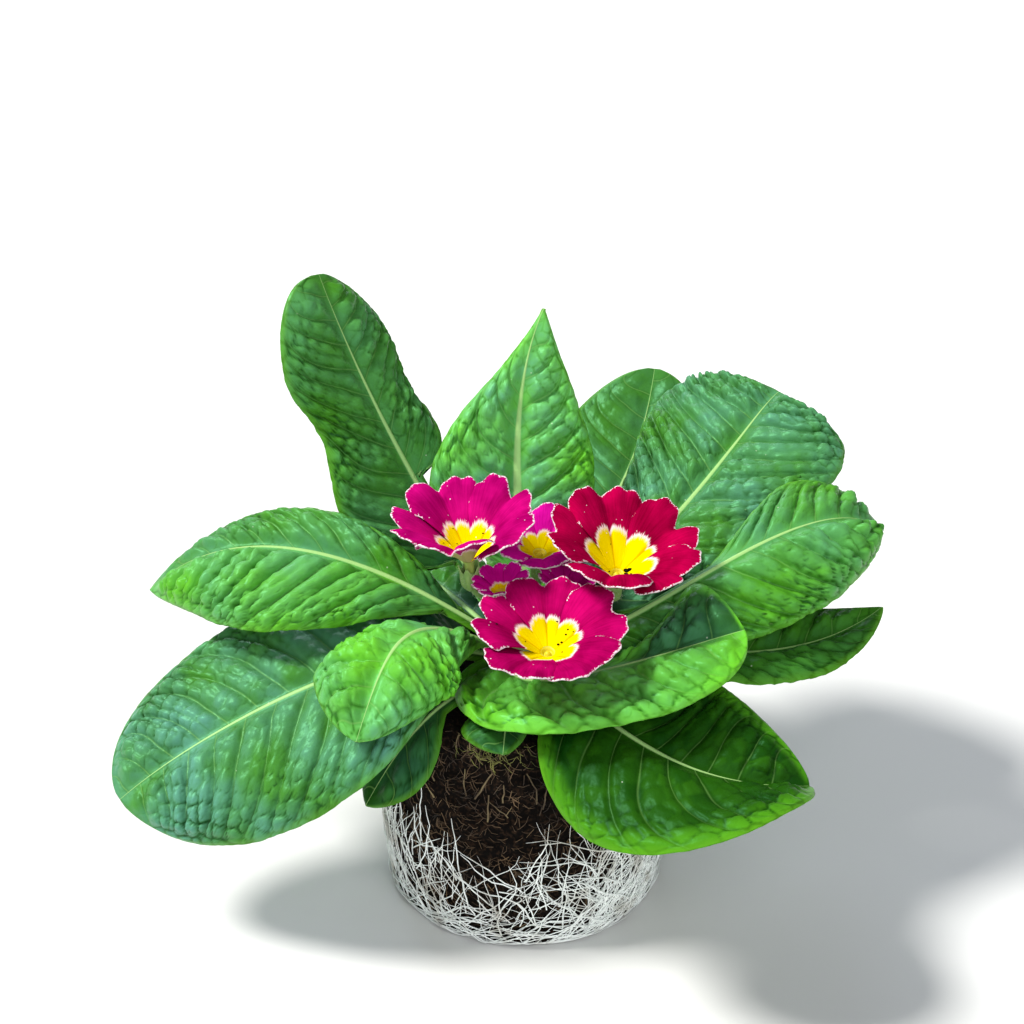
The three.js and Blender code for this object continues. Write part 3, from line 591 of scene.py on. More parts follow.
def leaf_point(leaf, row, across, crenation=0.0):
    """The middle surface of a leaf. Rows start at equal steps on the midrib and follow the veins."""
    wing = np.abs(across)
    t = BLADE_END * (row + sweep(wing) * row * (1 - row))
    place, side, normal = leaf_frame(leaf, t)
    opened = smooth(t - on_side(across, leaf["blade_from"]), 0, 0.25)
    late = smooth(t, 0.4, 1)
    angles = []
    for key in ("fold", "curl"):
        at_start = on_side(across, leaf[key])
        at_tip = on_side(across, leaf.get(key + "_tip", leaf[key]))
        angles.append(np.radians(at_start + (at_tip - at_start) * late) * opened)
    fold, bend = angles[0], angles[1] + 1e-6
    width = leaf_half_width(leaf, t, across) * (1 + crenation)
    out = width * (np.sin(fold) - np.sin(fold - bend * wing)) / bend
    rise = width * (np.cos(fold - bend * wing) - np.cos(fold)) / bend
    point = place + side * (np.sign(across) * out)[:, None] + normal * rise[:, None]
    return point, t, width, opened


def leaf_normal(leaf, row, across, step=0.002):
    """The direction out of the upper face, from the points a small step to each side."""
    ahead = leaf_point(leaf, row + step, across)[0]
    behind = leaf_point(leaf, row - step * (row > step), across)[0]
    left = leaf_point(leaf, row, across + step)[0]
    right = leaf_point(leaf, row, across - step)[0]
    return unit(np.cross(ahead - behind, left - right))


def blister_net(draw, x, y):
    """How far inside its blister each point is, from 0 on the veins of the net to 1 in the middle of
    one, and a shade of its own for each. The net is drawn round one seed in each unit square."""
    size = (int(x.max()) + 3, int(y.max()) + 3)
    seeds = draw.uniform((0.22, 0.15, 0), (0.78, 0.85, 1), size + (3,))
    nearest = np.full(len(x), 9.0)
    second = np.full(len(x), 9.0)
    shade = np.zeros(len(x))
    column, line = np.floor(x).astype(int), np.floor(y).astype(int)
    for i in (-1, 0, 1):
        for j in (-1, 0, 1):
            square = seeds[(column + i) % size[0], (line + j) % size[1]]
            far = np.hypot(x - column - i - square[:, 0], y - line - j - square[:, 1])
            shade = np.where(far < nearest, square[:, 2], shade)
            second = np.minimum(second, np.maximum(nearest, far))
            nearest = np.minimum(nearest, far)
    return 1 - (1 - np.clip((second - nearest) / VALLEY, 0, 1)) ** 2.2, shade


def leaf_shape(leaf, draw, length):
    """The rule that places the points of a leaf's upper face, with what its material needs."""
    veins = max(4, round(length / (VEIN_PITCH * MM)))
    phase = draw.uniform(0, 6, 2)

    def shape(row, across, number):
        # the points stand closer together at the midrib and at the margin
        across = across - 0.45 * np.sin(2 * np.pi * across) / (2 * np.pi)
        wing = np.abs(across)
        outer = smooth(wing, 0.3, 0.95)
        hand = np.where(across > 0, 0.0, 1.0)
        blistered = on_side(across, leaf["quilt"])
        # whole numbers of vein are the side veins, which are spaced a little unevenly
        wobble = 0.10 * np.sin(3.1 * row * veins + 4 * across) * smooth(wing, 0, 0.4)
        vein = row * veins + VEIN_SHIFT * hand + wobble
        point, t, width, opened = leaf_point(leaf, row, across)
        # two scallops to a side vein, and longer waves over them, make the margin uneven
        scallops = np.abs(np.sin(np.pi * (2 * vein + 0.2 * np.sin(3 * vein)))) - 0.6
        waves = 1.1 * np.sin(2 * np.pi * vein * 0.43 + hand)
        spread = SCALLOP * (scallops + waves) * blistered * MM / np.maximum(width, 4 * MM)
        crenation = spread * smooth(wing, 0.75, 1) * opened * smooth(1 - t, 0.03, 0.3)
        point = leaf_point(leaf, row, across, crenation)[0]
        normal = leaf_normal(leaf, row, across)
        reach = wing * width  # from the midrib
        edge = (1 - wing) * width  # from the margin
        from_vein = np.abs(vein - np.round(vein)) * 2
        pillow = 1 - (1 - from_vein) ** 2.4
        # the net of blisters lies turned, along the side veins, and keeps its size on the whole blade;
        # the right half lies on another stretch of it than the left half
        down, out = t * length / MM, reach / MM
        across_vein = down * math.cos(NET_LEAN) - out * math.sin(NET_LEAN) + NET_FROM[0] * (1 + hand)
        along_vein = down * math.sin(NET_LEAN) + out * math.cos(NET_LEAN) + NET_FROM[1]
        (large, shade), (small, _) = (
            blister_net(draw, across_vein / pitch, along_vein / pitch) for pitch in BLISTER_PITCH
        )
        quilt = blistered * smooth(opened, 0, 0.5) * smooth(reach, 1 * MM, 6 * MM)
        # the side veins crowd together at the tip's margin, where there is no room for deep folds
        room = smooth(1 + sweep(wing) * (1 - 2 * row), 0.25, 0.8)
        valley = 1 - 0.8 * smooth(from_vein, 0.28, 0) * room
        # some stretches of the blade stay smooth, most of all near the midrib
        swirl = 0.5 * np.sin(0.8 * vein + phase[0] + 2 * wing)
        swirl += 0.5 * np.sin(0.11 * along_vein + phase[1] + vein)
        bubbled = np.clip(0.3 + 0.35 * blistered + 0.42 * outer + 0.3 * swirl, 0.3, 1.2)
        relief = PILLOW * pillow * (1 - 0.35 * outer) * room
        relief += (BLISTER[0] * large * (0.6 + 0.7 * shade) + BLISTER[1] * small) * bubbled * valley
        # it fades out at the margin and at the tip
        relief *= quilt * (1 - 0.75 * smooth(edge, 4 * MM, 0)) * smooth(1 - t, 0, 0.08)
        relief *= 1 - 0.75 * smooth(t, 0.55, 0.85) * smooth(edge, 9 * MM, 2 * MM)
        # the midrib stands out on both faces, most of all below, and the side veins below only
        rib_half = (RIB_HALF[0] + (RIB_HALF[1] - RIB_HALF[0]) * t**0.7) * leaf.get("rib", 1) * MM
        rib = reach / rib_half + 0.75 * smooth(t, 0.5, 1)
        relief += RIB_RISE * np.maximum(0, 1 - rib**2) * (1 - 0.6 * t)
        relief -= MARGIN_DROP * smooth(edge, 1.5 * MM, 0)
        point = point + normal * ((BLADE / 2 + relief - SETTLE) * MM)[:, None]
        depth = (RIB_DEPTH[0] + (RIB_DEPTH[1] - RIB_DEPTH[0]) * t) * np.exp(-((rib / 1.5) ** 2))
        side_rib = VEIN_DEPTH * np.exp(-((from_vein / 0.12) ** 2)) * (1 - wing) * opened
        thickness = BLADE + depth + side_rib
        thickness *= 1 - 0.35 * smooth(edge, 1.0 * MM, 0)
        # the margin is brighter, and the foot of the blade is painted darker than its end, as shade
        # deep in the crown
        hem = on_side(across, leaf.get("hem", 0)) * smooth(edge, HEM, HEM / 3)
        painted_crown_shade = 0.8 * smooth(t, 0.4, 0.08)
        # net: low in the hollows and vein valleys (painted shade), high on blister tops (painted sheen)
        in_net = 1 - (1 - np.minimum(large, 0.4 + 0.6 * small)) * bubbled
        return point, {
            "vein": vein,
            "reach": reach / MM,
            "edge": edge / MM,
            "rib": rib,
            "net": np.minimum(in_net, 1 - 0.7 * (1 - pillow) * room),
            "shade": shade * smooth(large, 0, 0.5) + 0.5 * (1 - smooth(large, 0, 0.5)),
            # tone also carries painted shade and light, and the painted shade at the foot
            "tone": on_side(across, leaf["tone"]) + hem - painted_crown_shade,
            # the painted sheen fades out towards the foot of the leaf, where the crown's shade falls
            "cool": leaf["cool"] * smooth(t, 0.08, 0.38),
            "thickness": thickness,
        }

    return shape


LEAF_COLOURS = {
    "old blade": linear("#0d3806"),
    "young blade": linear("#56a31c"),
    "bloom": linear("#58937f"),  # painted sheen: the cool light reflected from the tops of the blisters
    "painted crease shade": linear("#4c7a3c"),  # painted shade in the creases between blisters: multiplies the blade's own colour
    "margin": linear("#68ab22"),
    "side vein": linear("#86b862"),
    "midrib": linear("#a6cf80"),
    "dried water": linear("#dfe8d2"),
    "down below": linear("#8fb173"),
    "gleam": linear("#7cd89e"),  # light that has been under the clear cuticle
}


def leaf_material(name, faces_up, gloss):
    """Leaf skin. The upper face is satin, with a cool sheen painted on its blisters and shade painted
    in the hollows between them; the lower one is pale, matt and downy. Midrib, side veins and net
    stand out lighter; the margin is yellower."""
    material, tree, shader = new_material(name)
    values = {}
    for key in ("vein", "reach", "edge", "rib", "net", "shade", "tone", "cool"):
        values[key] = add(tree, "Attribute", {"attribute_name": key}, give="Fac")
    place = add(tree, "TexCoord", {}, give="Object")
    patch = add(tree, "TexNoise", {"Scale": 40.0, "Detail": 3.0}, {"Vector": place})
    drops = add(tree, "TexVoronoi", {"Scale": 95.0}, {"Vector": place})  # a centimetre apart
    # the finest net of veins, too fine for the mesh: cells of about 2 mm, and grain of about 1 mm
    cells = add(tree, "TexVoronoi", {"feature": "DISTANCE_TO_EDGE", "Scale": 480.0}, {"Vector": place})
    grain = add(tree, "TexNoise", {"Scale": 900.0, "Detail": 3.0}, {"Vector": place})

    masks = {}  # from what each is read, where it begins and where it ends there, and how strong it is
    for key, (source, begins, ends, first, last) in {
        "patchy sheen": (patch, 0.35, 0.65, 0.1, 1.0),
        # painted sheen on the blister tops and painted shade in the hollows between them
        "blister top": (values["net"], 0.0, 0.9, 0.45, 1.0),
        "painted crease shade": (values["net"], 0.6, 0.0, 0.0, 0.85),
        "margin": (values["edge"], 2.5, 0.0, 0.0, 0.4),
        "vein strength": (values["reach"], 2.0, 30.0, 0.33, 0.09),
        "midrib": (values["rib"], 1.2, 0.7, 0.0, 0.92),
        "dried water": (drops, 0.034, 0.02, 0.0, 0.5),
        "cushion": (cells, 0.0, 0.35, 0.0, 1.0),
    }.items():
        reading = {"From Min": begins, "From Max": ends, "To Min": first, "To Max": last}
        masks[key] = add(tree, "MapRange", reading, {"Value": source})
    # painted sheen: a cool reflection painted on the tops of the blisters, thinner in patches
    on_top = {0: masks["patchy sheen"], 1: masks["blister top"]}
    sheen_on_tops = add(tree, "Math", {"operation": "MULTIPLY"}, on_top)
    masks["bloom"] = add(tree, "Math", {"operation": "MULTIPLY"}, {0: sheen_on_tops, 1: values["cool"]})
    # side veins: a line where the vein coordinate passes a whole number, fainter outwards
    centred = add(tree, "Math", {"operation": "PINGPONG", 1: 0.5}, {0: values["vein"]})
    masks["side vein"] = add(tree, "MapRange", {"From Min": 0.0, "From Max": 0.035, "To Max": 0.0},
                             {"Value": centred, "To Min": masks["vein strength"]})

    # each blister leans a little to the bright or to the dark side of its leaf
    uneven = add(tree, "Math", {"operation": "MULTIPLY_ADD", 1: 0.16, 2: -0.08}, {0: values["shade"]})
    shaded = add(tree, "Math", {"operation": "ADD"}, {0: uneven, 1: values["tone"]})
    toned = add(tree, "Math", {"operation": "MAXIMUM", 1: 0.0}, {0: shaded})
    ends = {"data_type": "RGBA", "clamp_factor": False,
            6: LEAF_COLOURS["old blade"], 7: LEAF_COLOURS["young blade"]}
    skin = add(tree, "Mix", ends, {0: toned})
    # painted sheen, painted shade in the hollows, yellower margin, pale veins, then dried water marks
    for key in ("bloom", "painted crease shade", "margin", "side vein", "midrib") + ("dried water",) * faces_up:
        coat = {"data_type": "RGBA", 7: LEAF_COLOURS[key]}
        if key == "painted crease shade":
            coat["blend_type"] = "MULTIPLY"
        skin = add(tree, "Mix", coat, {0: masks[key], 6: skin})
    if not faces_up:
        skin = add(tree, "Mix", {"data_type": "RGBA", 0: 0.4, 7: LEAF_COLOURS["down below"]}, {6: skin})
    tree.links.new(skin, shader.inputs["Base Color"])
    shader.inputs["Roughness"].default_value = 0.4 if faces_up else 0.7
    shader.inputs["Specular IOR Level"].default_value = gloss
    shader.inputs["Specular Tint"].default_value = LEAF_COLOURS["gleam"]
    height = add(tree, "Math", {"operation": "MULTIPLY_ADD", 1: 0.35}, {0: grain, 2: masks["cushion"]})
    bump = add(tree, "Bump", {"Strength": 0.4, "Distance": 0.09 * MM}, {"Height": height})
    tree.links.new(bump, shader.inputs["Normal"])
    return material


upper_skins = {  # a young leaf, which takes most of the painted cool sheen, is glossier than an old one
    "young": leaf_material("satin_leaf", True, 0.44),
    "old": leaf_material("old_dark_leaf", True, 0.16),
}
lower_skin = leaf_material("downy_leaf_underside", False, 0.15)
for number, (node, leaf) in enumerate(LEAVES.items()):
    four = around_crown(leaf["midrib"])
    midrib = cubic_through(four, np.linspace(0, 1, 60))[0]
    length = np.linalg.norm(np.diff(midrib, axis=0), axis=1).sum()
    step = MESH_STEP * MM * (1.5 if "_back_" in node else 1)
    rows = round(length / step)
    columns = 2 * round(sum(leaf["half_width"]) * MM / step / 2)
    shape = leaf_shape(leaf, np.random.default_rng(100 + number), length)
    mesh = sheets(node + "_blade", 1, rows, columns, shape)
    age = "young" if leaf["cool"] > 0.25 else "old"
    piece = add_piece(node + "_blade", mesh, [upper_skins[age], lower_skin], [node])
    thickness = np.empty(len(mesh.vertices), np.float32)
    mesh.attributes["thickness"].data.foreach_get("value", thickness)
    greatest = float(thickness.max())
    group = piece.vertex_groups.new(name="thickness")
    for index, value in enumerate(thickness):
        group.add([index], float(value) / greatest, "REPLACE")
    solid = piece.modifiers.new("thickness", "SOLIDIFY")
    solid.thickness = greatest * MM
    solid.offset = -1
    solid.vertex_group = "thickness"
    solid.material_offset = 1

# ---------------------------------------------------------------- flower stalks
# Downy pale green stalks, each with a ribbed calyx of five teeth that holds the flower's tube. They
# rise out of the top of the crown between the leaves, and the calyx is a thin cup of leaf tissue.
#
# centre: of the flower's throat, to the right, to the back and above the soil; facing: the azimuth
# that it leans to, and how far; spin: of its petals; cup: how steeply they rise; root: the azimuth of
# its stalk's foot; tone: 0 for crimson, 1 for purple; eye: how large its eye is, next to the usual.
# Angles are in degrees and sizes in mm.
BLOOMS = {
    "west": dict(
        centre=(-19, -2, 43), facing=(210, 6), radius=25, spin=41, cup=41, root=168,
        tone=0.42, eye=0.82),
    "east": dict(
        centre=(30.5, -5, 39), facing=(300, 15), radius=26.5, spin=34, cup=38, root=340,
        tone=0.08),
    "front": dict(
        centre=(7, -37, 27.8), facing=(275, 12), radius=25, spin=22, cup=30, root=280,
        tone=0.26, eye=0.92),
    "middle": dict(
        centre=(5, 16, 35), facing=(275, 12), radius=17, spin=60, cup=32, root=85,
        tone=1.0, eye=0.85),
    "inner_west": dict(
        centre=(-8, -9, 34), facing=(200, 4), radius=10.2, spin=36, cup=38, root=236,
        tone=1.0, eye=0.45),
    "inner_east": dict(
        centre=(13.2, 1.6, 29), facing=(330, 14), radius=10.2, spin=30, cup=32, root=20,
        tone=1.0, eye=0.45),
}
CALYX_LENGTH = 10 * MM
CALYX_TOOTH = 2.6 * MM  # length of its five teeth
CALYX_WALL = 0.4 * MM
STALK_RADIUS = 1.3 * MM
STALK_FOOT = (4.2, 16)  # mm from the axis and above the soil, on the top of the crown


def bloom_place(bloom):
    """The matrix that carries a flower built round +Z at the origin to its place."""
    azimuth, tilt = (math.radians(angle) for angle in bloom["facing"])
    lean = math.sin(tilt)
    axis = Vector((lean * math.cos(azimuth), lean * math.sin(azimuth), math.cos(tilt)))
    turn = Vector((0, 0, 1)).rotation_difference(axis).to_matrix().to_4x4()
    x, y, rise = bloom["centre"]
    centre = Matrix.Translation((x * MM, y * MM, BALL_HEIGHT + rise * MM))
    return centre @ turn @ Matrix.Rotation(math.radians(bloom["spin"]), 4, "Z")


def carried(points, place):
    """Points carried by a matrix."""
    turn = np.array(place.to_3x3())
    return points @ turn.T + np.array(place.translation)


def calyx_point(place):
    """The rule of a calyx: five ribs from the stalk up to five pointed teeth."""

    def shape(along, across, number):
        angle = np.pi * across
        ribs = 0.5 + 0.5 * np.cos(5 * angle)
        tooth = CALYX_TOOTH * ribs**1.5 * smooth(along, 0.75, 1)
        stations = [0, 0.12, 0.3, 0.6, 0.85, 1]
        radius = np.interp(along, stations, [1.2, 2.2, 3.1, 3.3, 3.2, 3.5]) * MM
        radius *= 1 - 0.2 * (1 - ribs) * smooth(along, 0.05, 0.3)
        z = -CALYX_LENGTH - 2 * MM + along * (CALYX_LENGTH - CALYX_TOOTH) + tooth
        points = np.stack([radius * np.cos(angle), radius * np.sin(angle), z], 1)
        return carried(points, place), {}

    return shape


# stalk skin under short white down: pale green, dull, with a soft light at its edges
downy, shader = mottled("downy_stalk", "#6f9640", "#a9c67c", 300.0, 0.6)
shader.inputs["Sheen Weight"].default_value = 0.15

HAIRS = {"stalk": 150, "calyx": 120}  # how many on each
HAIR_LENGTH = (0.6 * MM, 1.2 * MM)
HAIR_RADIUS = 0.035 * MM
draw = np.random.default_rng(44)
hairs = []


def grow_hair(root, outward):
    """A straight tapered hair that leans a little out of its outward direction."""
    lean = unit(outward + draw.normal(0, 0.25, 3))
    tip = root + lean * draw.uniform(*HAIR_LENGTH)
    hairs.append(([root, tip], [HAIR_RADIUS, HAIR_RADIUS * 0.4]))


for name, bloom in BLOOMS.items():
    place = bloom_place(bloom)
    facing = np.array(place.to_3x3() @ Vector((0, 0, 1)))
    end = np.array(place @ Vector((0, 0, -CALYX_LENGTH - 1 * MM)))
    start = around_crown([(bloom["root"], *STALK_FOOT)])[0]
    reach = np.linalg.norm(end - start)
    lower, upper = start + np.array([0, 0, 0.3 * reach]), end - facing * 4 * MM
    t = np.linspace(0, 1, 14)[:, None]
    s = 1 - t
    path = s**3 * start + 3 * s**2 * t * lower + 3 * s * t**2 * upper + t**3 * end
    stalk = strand_mesh("stalk_" + name, [(path, np.full(len(path), STALK_RADIUS))])
    calyx = sheets("calyx_" + name, 1, 24, 60, calyx_point(place), weld=WELD)
    for share in draw.uniform(0.05, 1, HAIRS["stalk"]):
        root = np.array([np.interp(share, t[:, 0], path[:, axis]) for axis in range(3)])
        outward = unit(np.cross(draw.normal(0, 1, 3), end - start))
        grow_hair(root + outward * STALK_RADIUS * 0.9, outward)
    centre = np.array(place.translation)
    along, across = draw.uniform((0.1, -1), (1, 1), (HAIRS["calyx"], 2)).T
    for root in calyx_point(place)(along, across, 0)[0]:
        grow_hair(root, unit(root - centre - facing * facing.dot(root - centre)))
    add_piece("flower_stalk_" + name, stalk, [downy], ["stalk_" + name])
    cup = add_piece("calyx_" + name, calyx, [downy])
    wall = cup.modifiers.new("wall", "SOLIDIFY")
    wall.thickness = CALYX_WALL
    wall.offset = -1

# fine clear plant hairs: white where they catch the light
down = mottled("white_down", "#d3dec0", "#f4f7ea", 200.0, 0.5, detail=2.0)[0]
add_piece("stalk_down", strand_mesh("stalk_down", hairs), [down])

# ---------------------------------------------------------------- flowers
# Five broad notched petals on a narrow tube, each lapped over the next: velvety crimson to purple,
# with a yellow eye edged in white, a thin ragged white rim and fine veins.
THROAT = 2.2 * MM  # radius of the tube's mouth, where the petals begin
PETAL_HALF_ANGLE = math.radians(44)
PETAL_THICKNESS = 0.45 * MM
FULL_RADIUS = 25  # mm, of a fully open flower
NOTCH = (0.15, 0.17)  # depth of the notch in a petal's end, and its width, as shares of the petal
CORNER = 0.26  # how much of its reach a petal lacks at its corners
LOBE = 0.9 * MM  # that the middle of each half of a petal is raised
CREASE = 0.5 * MM  # that the line between the halves is sunk
RUFFLE = (0.5 * MM, 0.28 * MM)  # height of the broad and of the fine waves towards the petal's end
LIP = 0.8 * MM  # that the petal's very end turns down
LAYER = 1.4 * MM  # that one side of a petal lies above its middle, and the other side below it
EYE = 0.385  # reach of the yellow eye, as a share of the petal
FRILL = (0.012, 0.018)  # of the petal's outline, in fine and in broad waves, as shares of its reach


def corolla_shape(bloom, place, draw):
    """The rule of the five petals of one flower: heart-shaped, each with one side over the next."""
    wobble = draw.uniform(-1, 1, (5, 4))
    radius = bloom["radius"] * MM
    share = bloom["radius"] / FULL_RADIUS

    def shape(along, across, number):
        u = 1 - (1 - along) ** 1.15  # the points stand closer together towards the petal's end
        mine = wobble[number]
        side = np.abs(across)
        turn = number * 2 * np.pi / 5 + np.radians(2.5) * mine[:, 0]
        notch = NOTCH[0] * np.exp(-((across / NOTCH[1]) ** 2))
        corner = CORNER * side**3.4
        frill = FRILL[0] * np.sin(across * 23 + 6 * mine[:, 1])
        frill += FRILL[1] * np.sin(across * 9 + 5 * mine[:, 3])
        reach = (radius - THROAT) * (1 - notch - corner + (frill + 0.03 * mine[:, 2]) * u)
        r = THROAT + reach * u
        angle = turn + PETAL_HALF_ANGLE * across * (0.85 + 0.15 * smooth(u, 0.05, 0.6))
        spread = smooth(u, 0.05, 0.5)
        slope = np.tan(np.radians(bloom["cup"] + 3 * mine[:, 1]))
        rise = (r - THROAT) * slope * (1.18 - 0.28 * u * u)
        lobes = LOBE * np.sin(np.pi * np.minimum(side * 1.1, 1))
        lobes -= CREASE * np.exp(-((across / 0.1) ** 2))
        ruffle = RUFFLE[0] * np.sin(across * 5 + 7 * mine[:, 2]) * u**3
        ruffle += RUFFLE[1] * np.sin(across * 19 + 5 * mine[:, 3]) * u**5
        lip = -LIP * smooth(u, 0.8, 1.0)
        z = rise + (across * LAYER + lobes) * spread * share + (ruffle + lip) * share
        points = np.stack([r * np.cos(angle), r * np.sin(angle), z], 1)
        rim_out = (1 - u) * reach
        rim_side = (1 - side) * r * PETAL_HALF_ANGLE * 0.9
        eye_notch = 0.12 * np.exp(-((across / 0.07) ** 2))
        patch = EYE * bloom.get("eye", 1) * (1 - eye_notch - 0.36 * side**3)
        return carried(points, place), {
            "eye": (r - THROAT - patch * (radius - THROAT)) / (MM * share),
            "rim": np.where(u > 0.74, np.minimum(rim_out, rim_side), rim_out) / MM,
            "across": across,
            "along": u,
            "petal": number.astype(float),
            "tone": np.full(len(u), bloom["tone"]),
        }

    return shape


PETAL_COLOURS = {  # each for a crimson flower and for a purple one
    "deep": ("#70000f", "#a80074"),
    "bright": ("#b20030", "#f018b0"),
}
EYE_COLOURS = {  # each with the line along the middle of its petal
    "face": ("#ecd600", "#c88400"),
    "back": ("#b3bd58", "#9cae50"),
}


def petal_material(name, faces_up):
    """Velvety petal skin, quite without gloss: a deep colour with fine streaks along the petal, a
    yellow eye with a white fringe, and a ragged white rim."""
    material, tree, shader = new_material(name)
    values = {}
    for key in ("eye", "rim", "across", "along", "petal", "tone"):
        values[key] = add(tree, "Attribute", {"attribute_name": key}, give="Fac")
    place = add(tree, "TexCoord", {}, give="Object")
    cloud = add(tree, "TexNoise", {"Scale": 90.0, "Detail": 3.0}, {"Vector": place})
    speck = add(tree, "TexNoise", {"Scale": 1500.0, "Detail": 2.0}, {"Vector": place})
    spots = add(tree, "TexVoronoi", {"Scale": 260.0}, {"Vector": place})  # 4 mm apart
    # streaks: noise that is stretched along the petal
    streak_at = {}
    for axis, key, waves in (("X", "across", 26.0), ("Y", "along", 2.5), ("Z", "petal", 7.0)):
        streak_at[axis] = add(tree, "Math", {"operation": "MULTIPLY", 1: waves}, {0: values[key]})
    streaks = add(tree, "CombineXYZ", {}, streak_at)
    streak = add(tree, "TexNoise", {"Scale": 1.0, "Detail": 2.0}, {"Vector": streaks})
    # the eye's edge frays out in streaks, and the white rim is ragged
    frayed = add(tree, "Math", {"operation": "MULTIPLY_ADD", 1: 3.6, 2: -1.8}, {0: streak})
    eye_edge = add(tree, "Math", {"operation": "ADD"}, {0: values["eye"], 1: frayed})
    ragged = add(tree, "Math", {"operation": "MULTIPLY_ADD", 1: -2.6, 2: 1.45}, {0: speck})
    rim_at = add(tree, "Math", {"operation": "SUBTRACT"}, {0: values["rim"], 1: ragged})
    sides = add(tree, "Math", {"operation": "ABSOLUTE"}, {0: values["across"]})

    masks = {}  # from what each is read, where it begins and ends there, and how strong it gets
    for key, (source, begins, ends, last) in {
        "cloud": (cloud, 0.35, 0.7, 0.7),
        "streak": (streak, 0.3, 0.7, 0.3),
        "fringe": (eye_edge, 1.3, 0.7, 1.0),
        "eye": (eye_edge, 0.7, -0.2, 1.0),
        "midline": (sides, 0.13, 0.0, 0.7),
        "rim": (rim_at, 0.2, 0.0, 0.9),
        "fleck": (spots, 0.07, 0.04, 0.8),
    }.items():
        reading = {"From Min": begins, "From Max": ends, "To Max": last}
        masks[key] = add(tree, "MapRange", reading, {"Value": source})
    shades = {}
    for key, (crimson, purple) in PETAL_COLOURS.items():
        ends = {"data_type": "RGBA", 6: linear(crimson), 7: linear(purple)}
        shades[key] = add(tree, "Mix", ends, {0: values["tone"]})
    uneven = add(tree, "Math", {"operation": "ADD"}, {0: masks["cloud"], 1: masks["streak"]})
    skin = add(tree, "Mix", {"data_type": "RGBA"}, {0: uneven, 6: shades["deep"], 7: shades["bright"]})
    skin = add(tree, "Mix", {"data_type": "RGBA", 7: linear("#f6e2ea")}, {0: masks["fringe"], 6: skin})
    ground, midline = EYE_COLOURS["face" if faces_up else "back"]
    ends = {"data_type": "RGBA", 6: linear(ground), 7: linear(midline)}
    gold = add(tree, "Mix", ends, {0: masks["midline"]})
    skin = add(tree, "Mix", {"data_type": "RGBA"}, {0: masks["eye"], 6: skin, 7: gold})
    pale = add(tree, "Math", {"operation": "MAXIMUM"}, {0: masks["rim"], 1: masks["fleck"]})
    skin = add(tree, "Mix", {"data_type": "RGBA", 7: linear("#f3e3ea")}, {0: pale, 6: skin})
    if not faces_up:
        skin = add(tree, "Mix", {"data_type": "RGBA", 0: 0.3, 7: linear("#b04a90")}, {6: skin})
    tree.links.new(skin, shader.inputs["Base Color"])
    shader.inputs["Roughness"].default_value = 0.75
    shader.inputs["Specular IOR Level"].default_value = 0.0
    bump = add(tree, "Bump", {"Strength": 0.4, "Distance": 0.3 * MM}, {"Height": streak})
    tree.links.new(bump, shader.inputs["Normal"])
    return material


petal_face = petal_material("velvet_petal", True)
petal_back = petal_material("velvet_petal_back", False)
for number, (name, bloom) in enumerate(BLOOMS.items()):
    place = bloom_place(bloom)
    fine = 1 if bloom["radius"] > 20 else 0.6
    rows, columns = round(34 * fine), 2 * round(22 * fine)
    shape = corolla_shape(bloom, place, np.random.default_rng(300 + number))
    mesh = sheets("petals_" + name, 5, rows, columns, shape)
    piece = add_piece("petals_" + name, mesh, [petal_face, petal_back], ["corolla_" + name])
    body = piece.modifiers.new("thickness", "SOLIDIFY")
    body.thickness = PETAL_THICKNESS
    body.offset = 0
    body.material_offset = 1

# Crumbs of peat that fell on the open flowers: which flower and petal, how far out along the petal
# and across it as shares, and the radius in mm.
CRUMBS = [
    ("east", 0, 0.03, -0.6, 1.0), ("east", 0, 0.08, -0.85, 0.95), ("east", 4, 0.05, 0.9, 0.8),
    ("east", 4, 0.05, 0.2, 0.6), ("east", 4, 0.13, -0.05, 0.55), ("east", 2, 0.03, 0.6, 0.5),
    ("east", 4, 0.02, 0.6, 0.5), ("east", 1, 0.24, 0.1, 0.3),
    ("west", 0, 0.24, 0.1, 0.35), ("west", 1, 0.26, 0.2, 0.3), ("west", 4, 0.22, 0.5, 0.35),
    ("west", 0, 0.14, -0.4, 0.35), ("west", 1, 0.12, 0.5, 0.3), ("west", 2, 0.22, -0.3, 0.3),
    ("front", 0, 0.07, 0.2, 0.55), ("front", 0, 0.12, 0.1, 0.5), ("front", 0, 0.19, 0.3, 0.45),
    ("front", 0, 0.24, 0.4, 0.4), ("front", 0, 0.3, 0.1, 0.3), ("front", 1, 0.3, -0.5, 0.35),
    ("front", 2, 0.62, 0.2, 0.45), ("front", 2, 0.2, 0.3, 0.3), ("front", 4, 0.12, 0.6, 0.35),
]
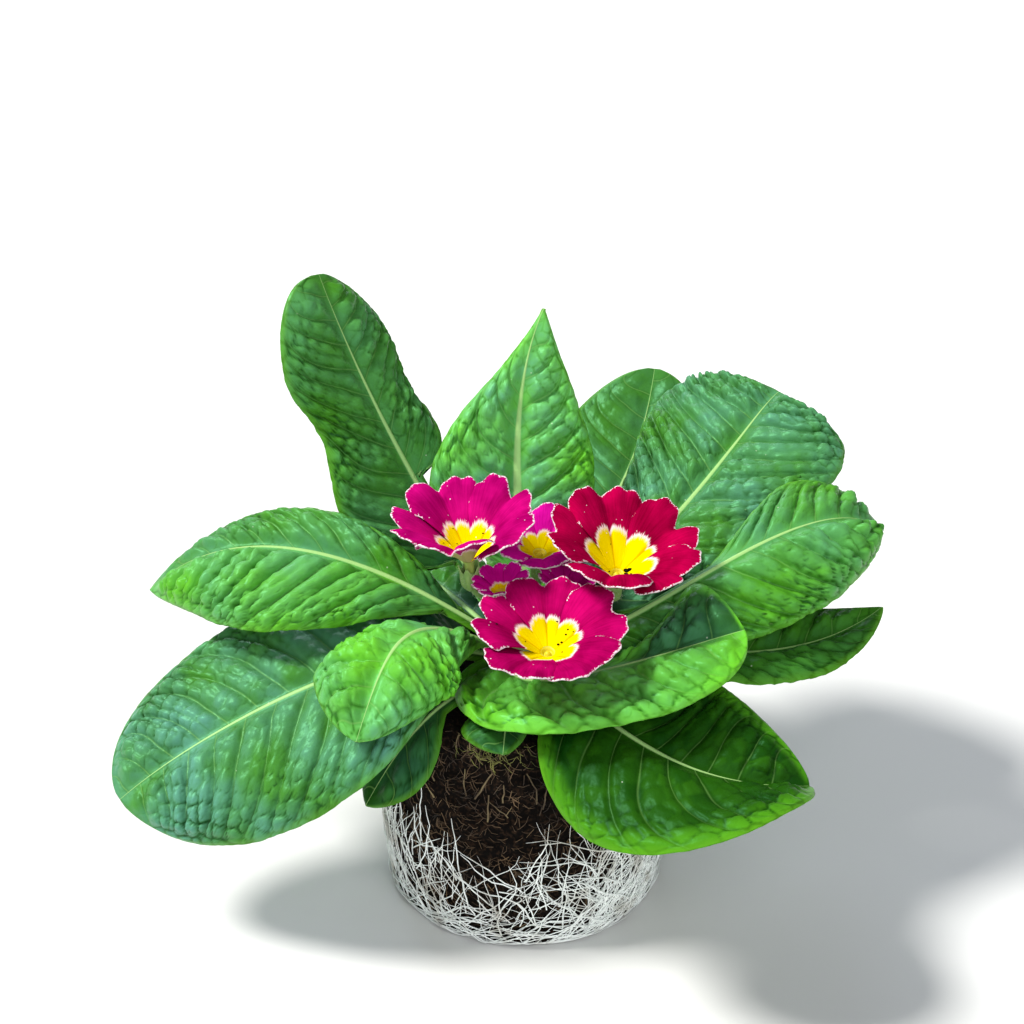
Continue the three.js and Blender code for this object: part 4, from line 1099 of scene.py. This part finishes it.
CRUMB_LIFT = 0.25 * MM  # from the middle of a petal to a little over its upper face
CRUMB_SHOWN = 0.3  # how far a crumb's middle lies over that, as a share of its radius
bm = bmesh.new()
for name, petal, along, across, size in CRUMBS:
    bloom = BLOOMS[name]
    number = list(BLOOMS).index(name)
    shape = corolla_shape(bloom, bloom_place(bloom), np.random.default_rng(300 + number))
    at = shape(np.array([along]), np.array([across]), np.array([petal]))[0][0]
    lifted = Vector(at) + Vector((0, 0, CRUMB_LIFT + CRUMB_SHOWN * size * MM))
    turned = Matrix.LocRotScale(lifted, None, Vector((1.0, 0.75, 0.7)))
    bmesh.ops.create_icosphere(bm, subdivisions=1, radius=size * MM, matrix=turned)
crumb_mesh = bpy.data.meshes.new("peat_crumbs")
bm.to_mesh(crumb_mesh)
bm.free()
add_piece("peat_crumbs", crumb_mesh, [peat])

# The tube of each flower, with the round stigma in its mouth.
waxy, tree, shader = new_material("waxy_tube")  # smooth skin: yellow in the throat, pale green outside
inner = add(tree, "Attribute", {"attribute_name": "inner"}, give="Fac")
mixed = add(tree, "Mix", {"data_type": "RGBA", 6: linear("#9fb558"), 7: linear("#d6c414")}, {0: inner})
tree.links.new(mixed, shader.inputs["Base Color"])
shader.inputs["Roughness"].default_value = 0.55


def tube_point(place):
    """The rule of a flower's tube, from its foot to its flared mouth and down to the stigma."""

    def shape(along, across, number):
        stations = [0, 0.05, 0.5, 0.7, 0.8, 0.88, 0.95, 1]
        radius = np.interp(along, stations, [0, 1.7, 1.7, 2.6, 2.0, 1.3, 0.7, 0]) * MM
        z = np.interp(along, stations, [-6, -6, -2, 0.5, 0.2, -0.9, 0.1, 0.3]) * MM
        angle = np.pi * across
        points = carried(np.stack([radius * np.cos(angle), radius * np.sin(angle), z], 1), place)
        return points, {"inner": smooth(along, 0.7, 0.78)}

    return shape


for name, bloom in BLOOMS.items():
    mesh = sheets("tube_" + name, 1, 40, 24, tube_point(bloom_place(bloom)), weld=WELD)
    add_piece("tube_" + name, mesh, [waxy])
